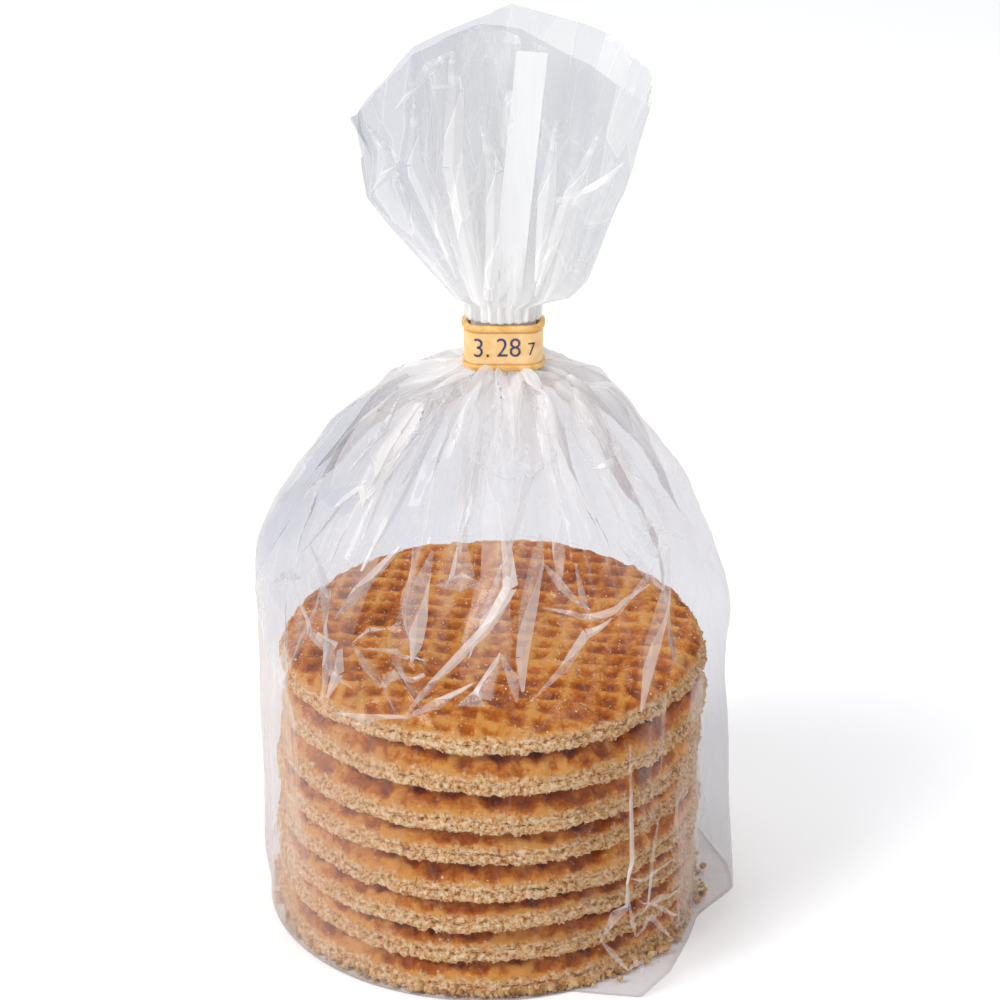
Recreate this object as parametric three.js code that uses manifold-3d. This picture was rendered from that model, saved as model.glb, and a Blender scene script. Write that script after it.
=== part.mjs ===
// A clear film bag of stroopwafels closed by a clip band: the filled bag is one solid, and the band another.
// Millimetres, +Z up. The origin is the middle of the flat base, straight below the stack of waffles,
// and -Y is the front. The pouch is drawn tight round the stack, its shoulders gather in pleats to a
// flat neck, and above the band the film fans out to a slanted mouth.
import * as THREE from "three";
import { mergeVertices } from "three/addons/utils/BufferGeometryUtils.js";
import Module from "manifold-3d";

const wasm = await Module();
wasm.setup();

// Contents: the size of the stack that the film is wrapped round.
const WAFFLE_DIAMETER = 90;
const WAFFLE_PITCH = 7.7;
const WAFFLE_COUNT = 8;

// Pouch: the film is drawn tight round the stack and out to five upright folds, some sharp and some slack.
const FILM_SLACK = 0.9; // how far the film stands off the waffles between its folds
const POUCH_RADIUS = WAFFLE_DIAMETER / 2 + FILM_SLACK;
const POUCH_SHIFT = -0.9; // the lower waffles lie a little to the left
const DEGREE = Math.PI / 180;
const FOLDS = [
  // angle from +X, and how far the fold stands from the middle at the base and at the rim
  { angle: -55 * DEGREE, base: 57, rim: 52 },
  { angle: -3 * DEGREE, base: 54.5, rim: 50 },
  { angle: 36 * DEGREE, base: 58, rim: 54 },
  { angle: 147 * DEGREE, base: 58, rim: 57 },
  { angle: 183 * DEGREE, base: 49.5, rim: 49.5 },
];
const BASE_ROUND = 2.2; // radius of the edge round the base
const RIM_HEIGHT = WAFFLE_COUNT * WAFFLE_PITCH;

// Shoulders: half a dome whose profile is a superellipse.
const SHOULDER_SIDE = 2.05;
const SHOULDER_RISE = 1.7;
const SHOULDER_PLEAT = 0.15; // depth of the pleats at the neck, as a share of the radius

// Clip band: a strip with a wire bead along each edge, bent to a flat loop and lapped at the back.
const BAND_HEIGHT = 10.2;
const BAND_BOTTOM = 127;
const BAND_WIDTH = 16; // between the middles of the strip's two short sides
const BAND_DEPTH = 8.4; // between the middles of its front and back
const BAND_CORNER = 3.2;
const STRIP_THICKNESS = 0.6;
const BEAD_RADIUS = 0.75;
const LAP_LENGTH = 9.5;

// Neck: fills the band's loop, a little clear of its beads.
const NECK_GAP = 0.4;
const NECK_HALF_WIDTH = BAND_WIDTH / 2 - BEAD_RADIUS - NECK_GAP;
const NECK_HALF_DEPTH = BAND_DEPTH / 2 - BEAD_RADIUS - NECK_GAP;
const NECK_SHIFT = 2.4; // how far the neck stands to the right of the stack's middle
const NECK_MARGIN = 0.5; // how far the neck runs straight past each edge of the band

// Fan: the open end of the bag above the band.
const FAN_HALF_WIDTH = 30.5;
const FAN_HALF_DEPTH = 13;
const FAN_SQUARE = 2.3; // squareness of the mouth: 2 is an ellipse, and larger is squarer
const FAN_SHIFT = 2.9;
const FAN_FLARE = 0.55; // how soon the fan widens: 1 is a straight cone, and smaller is sooner
const FAN_PLEAT = 0.1;
const MOUTH_HEIGHT = 184.5; // of the mouth's side corners, before its slant
const MOUTH_SLANT = 5; // how much higher the right corner is than the middle of the two
const MOUTH_ARCH = 15; // rise of the mouth between its corners
const MOUTH_POINT = 1.3; // shape of that rise: 1 is a gable, and 2 is a round arch
const MOUTH_BACK_RISE = 3; // how much higher the back edge is
const MOUTH_DISH = 6; // how far the closed top dips inside the mouth

// Mesh.
const PLEATS = 14;
const AROUND = PLEATS * 6;
const BODY_RINGS = 5;
const SHOULDER_RINGS = 12;
const FAN_RINGS = 10;
const BEAD_STEPS = 7;
const BEND_STEPS = 6;

const mix = THREE.MathUtils.lerp;

// A folded wave between -1 and 1 with sharp ridges, uneven round the bag.
function pleatWave(angle) {
  const folded = (Math.asin(Math.sin(PLEATS * angle)) * 2) / Math.PI;
  return folded * (0.75 + 0.25 * Math.sin(3 * angle + 1));
}

// How far a superellipse of half size 1 reaches in one direction.
function squareReach(angle, squareness) {
  const sum = Math.abs(Math.cos(angle)) ** squareness + Math.abs(Math.sin(angle)) ** squareness;
  return sum ** (-1 / squareness);
}

// The angle from one direction round to another, from 0 to a full turn.
function turnTo(from, to) {
  return THREE.MathUtils.euclideanModulo(to - from, 2 * Math.PI);
}

// How far a fold stands out, from the base (up 0) to the rim (up 1).
function foldReach(fold, up) {
  return mix(fold.base, fold.rim, up);
}

// Tight film running from the stack out to one fold and back.
function tipReach(angle, fold, up) {
  const tangent = Math.acos(POUCH_RADIUS / foldReach(fold, up));
  const away = Math.min(turnTo(fold.angle, angle), turnTo(angle, fold.angle));
  return POUCH_RADIUS / Math.cos(Math.max(0, tangent - away));
}

// Tight film running straight from one fold to the next.
function chordReach(angle, fold, next, up) {
  const span = turnTo(fold.angle, next.angle);
  const turn = turnTo(fold.angle, angle);
  if (turn >= span) return 0;
  const a = foldReach(fold, up);
  const b = foldReach(next, up);
  return (a * b * Math.sin(span)) / (a * Math.sin(turn) + b * Math.sin(span - turn));
}

// How far the pouch reaches in one direction.
function pouchReach(angle, up) {
  const reaches = FOLDS.flatMap((fold, i) => [
    tipReach(angle, fold, up),
    chordReach(angle, fold, FOLDS[(i + 1) % FOLDS.length], up),
  ]);
  return Math.max(...reaches);
}

// One closed outline of the pouch or its shoulders, at one height.
function pouchRing({ z, up, inset = 0, narrow = 1, gather = 0, flatness = 1, shift = POUCH_SHIFT }) {
  const ring = [];
  for (let i = 0; i < AROUND; i++) {
    const angle = (i / AROUND) * 2 * Math.PI;
    const outline = mix(pouchReach(angle, up), POUCH_RADIUS, gather);
    const reach = (outline - inset) * narrow * (1 + SHOULDER_PLEAT * gather * pleatWave(angle));
    ring.push(new THREE.Vector3(shift + reach * Math.cos(angle), flatness * reach * Math.sin(angle), z));
  }
  return ring;
}

// The base, its rounded edge and the upright sides.
function bodyRings() {
  const edge = 0.3 * BASE_ROUND;
  const rings = [pouchRing({ z: 0, up: 0, inset: BASE_ROUND }), pouchRing({ z: edge, up: 0, inset: edge })];
  for (let k = 0; k < BODY_RINGS; k++) {
    const up = k / BODY_RINGS;
    rings.push(pouchRing({ z: mix(BASE_ROUND, RIM_HEIGHT, up), up }));
  }
  return rings;
}

// From the top of the stack to the neck, with pleats that deepen as the film gathers.
function shoulderRings() {
  const rise = BAND_BOTTOM - NECK_MARGIN - RIM_HEIGHT;
  const lastTurn = Math.acos((NECK_HALF_WIDTH / POUCH_RADIUS) ** (SHOULDER_SIDE / 2));
  const rings = [];
  for (let k = 0; k < SHOULDER_RINGS; k++) {
    const gather = k / SHOULDER_RINGS;
    const turn = gather * lastTurn;
    const height = (Math.sin(turn) / Math.sin(lastTurn)) ** (2 / SHOULDER_RISE);
    rings.push(
      pouchRing({
        z: RIM_HEIGHT + rise * height,
        up: 1,
        narrow: Math.cos(turn) ** (2 / SHOULDER_SIDE),
        gather,
        flatness: mix(1, NECK_HALF_DEPTH / NECK_HALF_WIDTH, gather ** 4),
        shift: mix(POUCH_SHIFT, NECK_SHIFT, height ** 5),
      }),
    );
  }
  return rings;
}

// One outline of the neck, a pleated ellipse inside the band.
function neckRing(z) {
  const ring = [];
  for (let i = 0; i < AROUND; i++) {
    const angle = (i / AROUND) * 2 * Math.PI;
    const reach = (1 + SHOULDER_PLEAT * pleatWave(angle)) / (1 + SHOULDER_PLEAT);
    ring.push(
      new THREE.Vector3(
        NECK_SHIFT + NECK_HALF_WIDTH * reach * Math.cos(angle),
        NECK_HALF_DEPTH * reach * Math.sin(angle),
        z,
      ),
    );
  }
  return ring;
}

// A point on the mouth's edge, which arches up between its corners and is higher at the back.
function mouthPoint(angle) {
  const reach = squareReach(angle, FAN_SQUARE) * (1 + FAN_PLEAT * pleatWave(angle));
  const across = reach * Math.cos(angle);
  const back = reach * Math.sin(angle);
  const arch = MOUTH_ARCH * Math.max(0, 1 - Math.abs(across) ** MOUTH_POINT);
  const z = MOUTH_HEIGHT + MOUTH_SLANT * across + arch + MOUTH_BACK_RISE * back;
  return new THREE.Vector3(FAN_SHIFT + FAN_HALF_WIDTH * across, FAN_HALF_DEPTH * back, z);
}

// From the top of the neck to the mouth, widening fast and then nearly straight.
function fanRings() {
  const start = neckRing(BAND_BOTTOM + BAND_HEIGHT + NECK_MARGIN);
  const rings = [start];
  for (let k = 1; k <= FAN_RINGS; k++) {
    const up = (k / FAN_RINGS) ** 1.5;
    const out = up ** FAN_FLARE;
    rings.push(
      start.map((from, i) => {
        const to = mouthPoint((i / AROUND) * 2 * Math.PI);
        return new THREE.Vector3(mix(from.x, to.x, out), mix(from.y, to.y, out), mix(from.z, to.z, up));
      }),
    );
  }
  return rings;
}

// A closed skin through the rings, each of AROUND points, with a middle point closing each end.
function skinOf(rings, bottomMiddle, topMiddle) {
  const points = [...rings.flat(), bottomMiddle, topMiddle];
  const bottom = points.length - 2;
  const top = points.length - 1;
  const lastRow = (rings.length - 1) * AROUND;
  const faces = [];
  for (let i = 0; i < AROUND; i++) {
    const next = (i + 1) % AROUND;
    for (let row = 0; row < lastRow; row += AROUND) {
      faces.push(row + i, row + next, row + AROUND + next);
      faces.push(row + i, row + AROUND + next, row + AROUND + i);
    }
    faces.push(bottom, next, i);
    faces.push(top, lastRow + i, lastRow + next);
  }
  const geometry = new THREE.BufferGeometry().setFromPoints(points);
  geometry.setIndex(faces);
  geometry.computeVertexNormals();
  return geometry;
}

// The filled bag: pouch, shoulders, neck and fan in one solid.
function bagGeometry() {
  const rings = [...bodyRings(), ...shoulderRings(), neckRing(BAND_BOTTOM - NECK_MARGIN), ...fanRings()];
  const mouth = rings[rings.length - 1];
  const middle = mouth.reduce((sum, p) => sum.add(p), new THREE.Vector3()).divideScalar(AROUND);
  middle.z -= MOUTH_DISH;
  return skinOf(rings, new THREE.Vector3(0, 0, 0), middle);
}

// The strip's section: x points out from the loop and y is up. A round bead stands on each edge.
function stripSection() {
  const opening = Math.asin(STRIP_THICKNESS / 2 / BEAD_RADIUS);
  const points = [];
  for (const side of [1, -1]) {
    const middle = side * (BAND_HEIGHT / 2 - BEAD_RADIUS);
    const first = side * (Math.PI / 2) - Math.PI + opening;
    for (let i = 0; i <= BEAD_STEPS; i++) {
      const angle = first + (i / BEAD_STEPS) * (2 * Math.PI - 2 * opening);
      points.push(new THREE.Vector2(BEAD_RADIUS * Math.cos(angle), middle + BEAD_RADIUS * Math.sin(angle)));
    }
  }
  return points;
}

// The loop's middle line: a rectangle with round corners, as points with the way out at each.
function loopLine() {
  const line = [];
  for (let corner = 0; corner < 4; corner++) {
    const x = (corner === 0 || corner === 3 ? 1 : -1) * (BAND_WIDTH / 2 - BAND_CORNER);
    const y = (corner < 2 ? 1 : -1) * (BAND_DEPTH / 2 - BAND_CORNER);
    for (let i = 0; i <= BEND_STEPS; i++) {
      const angle = ((corner + i / BEND_STEPS) * Math.PI) / 2;
      const out = new THREE.Vector2(Math.cos(angle), Math.sin(angle));
      line.push({ at: new THREE.Vector2(x, y).addScaledVector(out, BAND_CORNER), out });
    }
  }
  return line;
}

// The strip's section swept once round the loop.
function loopGeometry() {
  const section = stripSection();
  const line = loopLine();
  const points = line.flatMap(({ at, out }) =>
    section.map((p) => new THREE.Vector3(at.x + out.x * p.x, at.y + out.y * p.x, p.y)),
  );
  const faces = [];
  for (let i = 0; i < line.length; i++) {
    const here = i * section.length;
    const there = ((i + 1) % line.length) * section.length;
    for (let j = 0; j < section.length; j++) {
      const next = (j + 1) % section.length;
      faces.push(here + j, there + j, there + next, here + j, there + next, here + next);
    }
  }
  const geometry = new THREE.BufferGeometry().setFromPoints(points);
  geometry.setIndex(faces);
  return geometry;
}

// The strip's free end, which lies over the back of the loop.
function lapGeometry() {
  const geometry = new THREE.ExtrudeGeometry(new THREE.Shape(stripSection()), {
    depth: LAP_LENGTH,
    steps: 1,
    bevelEnabled: false,
  });
  // Section x turns to +Y, section y to +Z and the length to +X.
  const turned = new THREE.Matrix4().makeBasis(
    new THREE.Vector3(0, 1, 0),
    new THREE.Vector3(0, 0, 1),
    new THREE.Vector3(1, 0, 0),
  );
  geometry.applyMatrix4(turned);
  geometry.translate(-LAP_LENGTH / 2 + 1, BAND_DEPTH / 2 + 0.8 * STRIP_THICKNESS, 0);
  return geometry;
}

// A closed geometry as a solid that can be joined.
function solidOf(geometry) {
  const bare = geometry.clone();
  bare.deleteAttribute("normal");
  bare.deleteAttribute("uv");
  const merged = mergeVertices(bare, 1e-4);
  return new wasm.Manifold(
    new wasm.Mesh({
      numProp: 3,
      vertProperties: merged.getAttribute("position").array,
      triVerts: new Uint32Array(merged.getIndex().array),
    }),
  );
}

function geometryOf(solid) {
  const mesh = solid.getMesh();
  const geometry = new THREE.BufferGeometry();
  geometry.setAttribute("position", new THREE.BufferAttribute(new Float32Array(mesh.vertProperties), 3));
  geometry.setIndex(new THREE.BufferAttribute(new Uint32Array(mesh.triVerts), 1));
  geometry.computeVertexNormals();
  return geometry;
}

const film = new THREE.MeshStandardMaterial({
  color: 0xe4e5e9,
  roughness: 0.12,
  metalness: 0,
  transparent: true,
  opacity: 0.35,
});
const goldStrip = new THREE.MeshStandardMaterial({ color: 0xecbd74, roughness: 0.42, metalness: 0 });

const bag = new THREE.Mesh(bagGeometry(), film);
bag.name = "bag";

const clipBand = new THREE.Mesh(geometryOf(solidOf(loopGeometry()).add(solidOf(lapGeometry()))), goldStrip);
clipBand.name = "clip_band";
clipBand.position.set(NECK_SHIFT, 0, BAND_BOTTOM + BAND_HEIGHT / 2);

const stroopwafelBag = new THREE.Group();
stroopwafelBag.add(bag, clipBand);

export default stroopwafelBag;
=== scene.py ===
import math
from functools import partial

import bpy
import numpy as np
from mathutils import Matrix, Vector
from mathutils.bvhtree import BVHTree


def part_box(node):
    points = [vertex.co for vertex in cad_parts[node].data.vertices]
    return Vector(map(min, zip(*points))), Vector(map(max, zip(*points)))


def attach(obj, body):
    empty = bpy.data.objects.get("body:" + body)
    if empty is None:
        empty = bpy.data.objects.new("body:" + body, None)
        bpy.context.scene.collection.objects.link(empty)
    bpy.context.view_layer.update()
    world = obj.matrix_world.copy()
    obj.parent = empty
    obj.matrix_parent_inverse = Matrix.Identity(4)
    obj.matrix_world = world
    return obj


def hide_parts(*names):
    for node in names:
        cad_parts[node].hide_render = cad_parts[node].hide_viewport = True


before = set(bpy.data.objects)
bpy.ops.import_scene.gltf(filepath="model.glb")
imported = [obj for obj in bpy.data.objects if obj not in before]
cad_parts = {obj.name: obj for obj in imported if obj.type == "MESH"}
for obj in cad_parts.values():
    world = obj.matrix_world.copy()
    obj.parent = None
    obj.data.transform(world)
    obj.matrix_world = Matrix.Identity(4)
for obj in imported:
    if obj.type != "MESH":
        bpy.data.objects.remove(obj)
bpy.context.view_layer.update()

mm = 0.001
bandLow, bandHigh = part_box("clip_band")
neckX = (bandLow.x + bandHigh.x) / 2


def linear(hexColour):  # "#rrggbb" in sRGB to linear RGBA
    parts = [int(hexColour[i:i + 2], 16) / 255 for i in (1, 3, 5)]
    return [c / 12.92 if c <= 0.04045 else ((c + 0.055) / 1.055) ** 2.4 for c in parts] + [1.0]


def addNode(tree, kind, inputs=None, **settings):
    # A shader node's kind goes without "ShaderNode". The inputs are a list in the sockets' order, or go by
    # name or number, and each is a value, a socket, or a node, which stands for its first output.
    node = tree.nodes.new(kind if "Node" in kind else "ShaderNode" + kind)
    for name, value in settings.items():
        setattr(node, name, value)
    if isinstance(inputs, list):
        inputs = dict(enumerate(inputs))
    for key, value in (inputs or {}).items():
        if isinstance(value, bpy.types.Node):
            value = value.outputs[0]
        if isinstance(value, bpy.types.NodeSocket):
            tree.links.new(value, node.inputs[key])
        else:
            node.inputs[key].default_value = value
    return node


def fillRamp(node, stops):  # stops are (place, hex colour)
    ramp = node.color_ramp
    while len(ramp.elements) < len(stops):
        ramp.elements.new(0.5)
    for element, (place, colour) in zip(ramp.elements, stops):
        element.position = place
        element.color = linear(colour)
    return node


def newMaterial(name):  # gives the material, and what adds nodes to it
    material = bpy.data.materials.new(name)
    material.use_nodes = True
    material.node_tree.nodes.clear()
    return material, partial(addNode, material.node_tree)


def mottled(name, scale, detail, colours, finish):  # a material in patches of a few shades
    material, add = newMaterial(name)
    place = add("TexCoord").outputs["Object"]
    patches = add("TexNoise", {"Vector": place, "Scale": scale, "Detail": detail})
    colour = fillRamp(add("ValToRGB", {"Fac": patches}), colours)
    add("OutputMaterial", {"Surface": add("BsdfPrincipled", {"Base Color": colour, **finish})})
    return material


def newObject(name, points, faces, smooth=True):
    mesh = bpy.data.meshes.new(name)
    mesh.from_pydata([tuple(p) for p in points], [], [tuple(f) for f in faces])
    mesh.update()
    mesh.polygons.foreach_set("use_smooth", [smooth] * len(mesh.polygons))
    made = bpy.data.objects.new(name, mesh)
    bpy.context.scene.collection.objects.link(made)
    return made


def meshPoints(piece):  # in metres
    points = np.empty(len(piece.data.vertices) * 3)
    piece.data.vertices.foreach_get("co", points)
    return points.reshape(-1, 3)


def frontOf(piece):  # gives a function that says how far back the piece's front lies at a place, in mm
    corners = [vertex.co for vertex in piece.data.vertices]
    tree = BVHTree.FromPolygons(corners, [tuple(face.vertices) for face in piece.data.polygons])

    def front(across, up):
        hit = tree.ray_cast(Vector((across * mm, -0.2, up * mm)), Vector((0, 1, 0)))[0]
        return hit.y / mm if hit else 0.0
    return front


def settle(piece, slot, nodes=(), finish=None):  # a piece takes its finish, rides on the one body, and hides the parts it replaces
    if finish:
        piece.data.materials.append(finish)
    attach(piece, "root")
    if nodes:
        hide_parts(*nodes)
    return piece


view = {
    "distance": 0.707,  # from the object's middle, level
    "height": 0.437,
    "side": 0.0017,
    "down": 25.81,  # degrees
    "lens": 132.55,  # mm on a 36 mm sensor
    "world": "#eef0f4",
    "worldStrength": 0.40,
    "floor": "#fbfbfc",
    "floorSize": 3.4,
    "lights": [
        # name, place in metres, size in metres, watts
        ("keyLeft", (-0.75, -0.50, 0.85), (0.50, 0.60), 10.4),
        ("fillRight", (0.80, -0.45, 0.75), (0.45, 0.60), 3.4),
        ("overhead", (0.05, 0.15, 1.15), (1.20, 0.80), 5.2),
        ("backPanel", (0.0, 1.45, 0.95), (1.80, 0.70), 5.6),
    ],
}


def buildView():
    scene = bpy.context.scene
    scene.view_settings.view_transform = "Standard"
    scene.cycles.transparent_max_bounces = 64  # the pleats lie many layers deep
    scene.cycles.max_bounces = 12

    camera = bpy.data.objects.new("camera", bpy.data.cameras.new("camera"))
    camera.data.sensor_width = 36
    camera.data.lens = view["lens"]
    camera.data.clip_start = 0.01
    camera.location = (view["side"], -view["distance"], view["height"])
    camera.rotation_euler = (math.radians(90 - view["down"]), 0, 0)
    scene.collection.objects.link(camera)
    scene.camera = camera

    world = bpy.data.worlds.new("studio")
    world.use_nodes = True
    world.node_tree.nodes["Background"].inputs["Color"].default_value = linear(view["world"])
    world.node_tree.nodes["Background"].inputs["Strength"].default_value = view["worldStrength"]
    scene.world = world

    for name, place, size, power in view["lights"]:
        light = bpy.data.lights.new(name, "AREA")
        light.shape = "RECTANGLE"
        light.size, light.size_y = size
        light.energy = power
        lamp = bpy.data.objects.new(name, light)
        lamp.location = place
        lamp.rotation_euler = (Vector((0, 0, 0.09)) - Vector(place)).to_track_quat("-Z", "Y").to_euler()
        scene.collection.objects.link(lamp)

    half = view["floorSize"] / 2
    corners = [(-half, -half, 0), (half, -half, 0), (half, half, 0), (-half, half, 0)]
    floor = newObject("floor", corners, [(0, 1, 2, 3)])
    # Matte white paper: it only shows the light and the object's shadow.
    paper, add = newMaterial("matte white paper")
    shader = add("BsdfDiffuse", {"Color": linear(view["floor"])})
    add("OutputMaterial", {"Surface": shader})
    floor.data.materials.append(paper)


waffle = {
    "radius": 45.3,  # of the crust's edge, in mm
    "thickness": [8.0, 7.8, 7.2, 8.6, 7.3, 9.3, 9.3, 7.2],  # from the bottom waffle up
    "shiftX": [-1.6, -1.2, -1.5, -0.6, -1.2, -0.3, 0.3, -0.1],
    "shiftY": [-0.9, -0.2, -0.6, -0.3, 0.3, 0.2, 0.6, 2.0],
    "round": 9.0,  # how far in from the edge the crust starts to fall
    "crustEnd": 3.6,  # height of the crust's lower edge above the waffle's underside
    "lip": 1.35,  # mm of cut crumb below the crust, above the syrup
    "crack": -0.3,  # mm between the two halves at the edge; below 0 their crumbs run into each other
    "cellSize": 5.3,  # from ridge to ridge
    "cellTurn": [25, 70, 12, 40, 8, 55, 33, 10],  # degrees
    "cellDepth": 1.05,
    "cellWander": 4.2,  # how far the cells' lines may stray
    "around": {"upper": 640, "syrup": 240, "lower": 600},  # points round the edge
    "step": 0.55,  # spacing of the rings where the surface shows
    "edgeWobble": 3.4,  # how far the cut edge runs in and out
    "lipWobble": 2.4,  # how ragged the rim of the crust is
    "bend": 3.6,  # how far the edge waves up and down
    "crumbDepth": {"upper": 0.6, "syrup": 0.2, "lower": 0.8},
    "crumbDensity": {"upper": 0.8e6, "syrup": 0.0, "lower": 0.95e6},  # loose bits to a square metre
    "filmBelow": 0.2,  # mm kept free for the film under the stack
    "clingingBit": 0.32,  # mm, half the width of a loose bit
}


def ringProfile(corners, step):
    # A corner is (radius, height, crust) with how far apart the rings after it are, and 0 stands for step.
    rings = []
    for (a, spacing), (b, _) in zip(corners, corners[1:]):
        length = math.hypot(b[0] - a[0], b[1] - a[1])
        count = max(1, round(length / (spacing or step)))
        rings += [tuple(a[k] + (b[k] - a[k]) * i / count for k in range(3)) for i in range(count)]
    return rings + [corners[-1][0]]


def latheDisc(name, profile, around):  # the profile starts and ends on the axis, and runs from the top down
    turns = [2 * math.pi * i / around for i in range(around)]
    points = [(0, 0, profile[0][1] * mm)]
    for r, z, _ in profile[1:-1]:
        points += [(r * math.cos(t) * mm, r * math.sin(t) * mm, z * mm) for t in turns]
    points.append((0, 0, profile[-1][1] * mm))
    last = len(points) - 1
    faces = []
    rows = len(profile) - 2
    for i in range(around):
        j = (i + 1) % around
        faces.append((0, 1 + i, 1 + j))
        for row in range(rows - 1):
            a, b = 1 + row * around, 1 + (row + 1) * around
            faces.append((a + i, b + i, b + j, a + j))
        a = 1 + (rows - 1) * around
        faces.append((last, a + j, a + i))
    made = newObject(name, points, faces)
    crust = made.data.attributes.new("crust", "FLOAT", "POINT")
    values = [profile[0][2]] + [p[2] for p in profile[1:-1] for _ in turns] + [profile[-1][2]]
    crust.data.foreach_set("value", values)
    return made


def upperProfile(thickness, showsTop):
    radius, end, lip = waffle["radius"], waffle["crustEnd"], waffle["lip"]
    inner = radius - waffle["round"]
    corners = [((0, thickness, 1), 0 if showsTop else 12)]
    for k in range(9):
        turn = math.radians(90 * k / 8)
        browned = 1 - 0.55 * max(0, (k - 5) / 3) ** 2
        reach = inner + waffle["round"] * math.sin(turn)
        corners.append(((reach, end + (thickness - end) * math.cos(turn), browned), 0.5))
    corners += [((radius + 0.25, end - 0.35, 0.1), 0.25), ((radius + 0.2, end - 0.7 * lip, 0), 0.25)]
    low = end - lip
    corners += [((radius - 0.4, low, 0), 0.4), ((radius - 1.4, low, 0), 10), ((0, low, 0), 0)]
    return ringProfile(corners, waffle["step"])


def lowerProfile():
    radius, top = waffle["radius"], waffle["crustEnd"] - waffle["lip"] - waffle["crack"]
    corners = [
        ((0, top, 0), 10), ((radius - 1.4, top, 0), 0.4), ((radius + 0.1, top, 0), 0.25),
        ((radius + 0.9, top * 0.65, 0), 0.25), ((radius + 0.9, top * 0.3, 0), 0.25),
        ((radius + 0.1, 0.15, 0), 0.4), ((radius - 2, 0.05, 0.3), 1), ((radius - 8, 0.0, 1), 10),
        ((0, 0, 1), 0),
    ]
    return ringProfile(corners, 0.4)


def syrupProfile():
    radius, top = waffle["radius"], waffle["crustEnd"] - waffle["lip"] + 0.15
    low = top - 0.4
    corners = [
        ((0, top, 0), 10), ((radius - 2.2, top, 0), 0.3), ((radius - 0.5, top, 0), 0.3),
        ((radius + 0.3, (top + low) / 2, 0), 0.3),
        ((radius - 0.5, low, 0), 0.3), ((radius - 2.2, low, 0), 10), ((0, low, 0), 0),
    ]
    return ringProfile(corners, 0.3)


waferNoise = {
    # the seed it follows, noise to the metre, detail and roughness
    "warp": ("Seed", 45.0, 1.0, 0.5),  # how the cells' lines wander, over 22 mm
    "pressed": ("Seed", 170.0, 2.0, 0.5),  # how deep the iron pressed, over 6 mm
    "crumb": ("Seed", 760.0, 3.0, 0.65),  # lumps 1.3 mm apart: real ones are finer, and wouldn't show
    "wave": ("Bend Seed", 60.0, 3.0, 0.6),  # the edge in and out, over 17 mm
    "bend": ("Bend Seed", 26.0, 1.0, 0.5),  # the edge up and down, over 38 mm
    "lip": ("Bend Seed", 210.0, 2.0, 0.6),  # the ragged rim of the crust, over 5 mm
}


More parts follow.
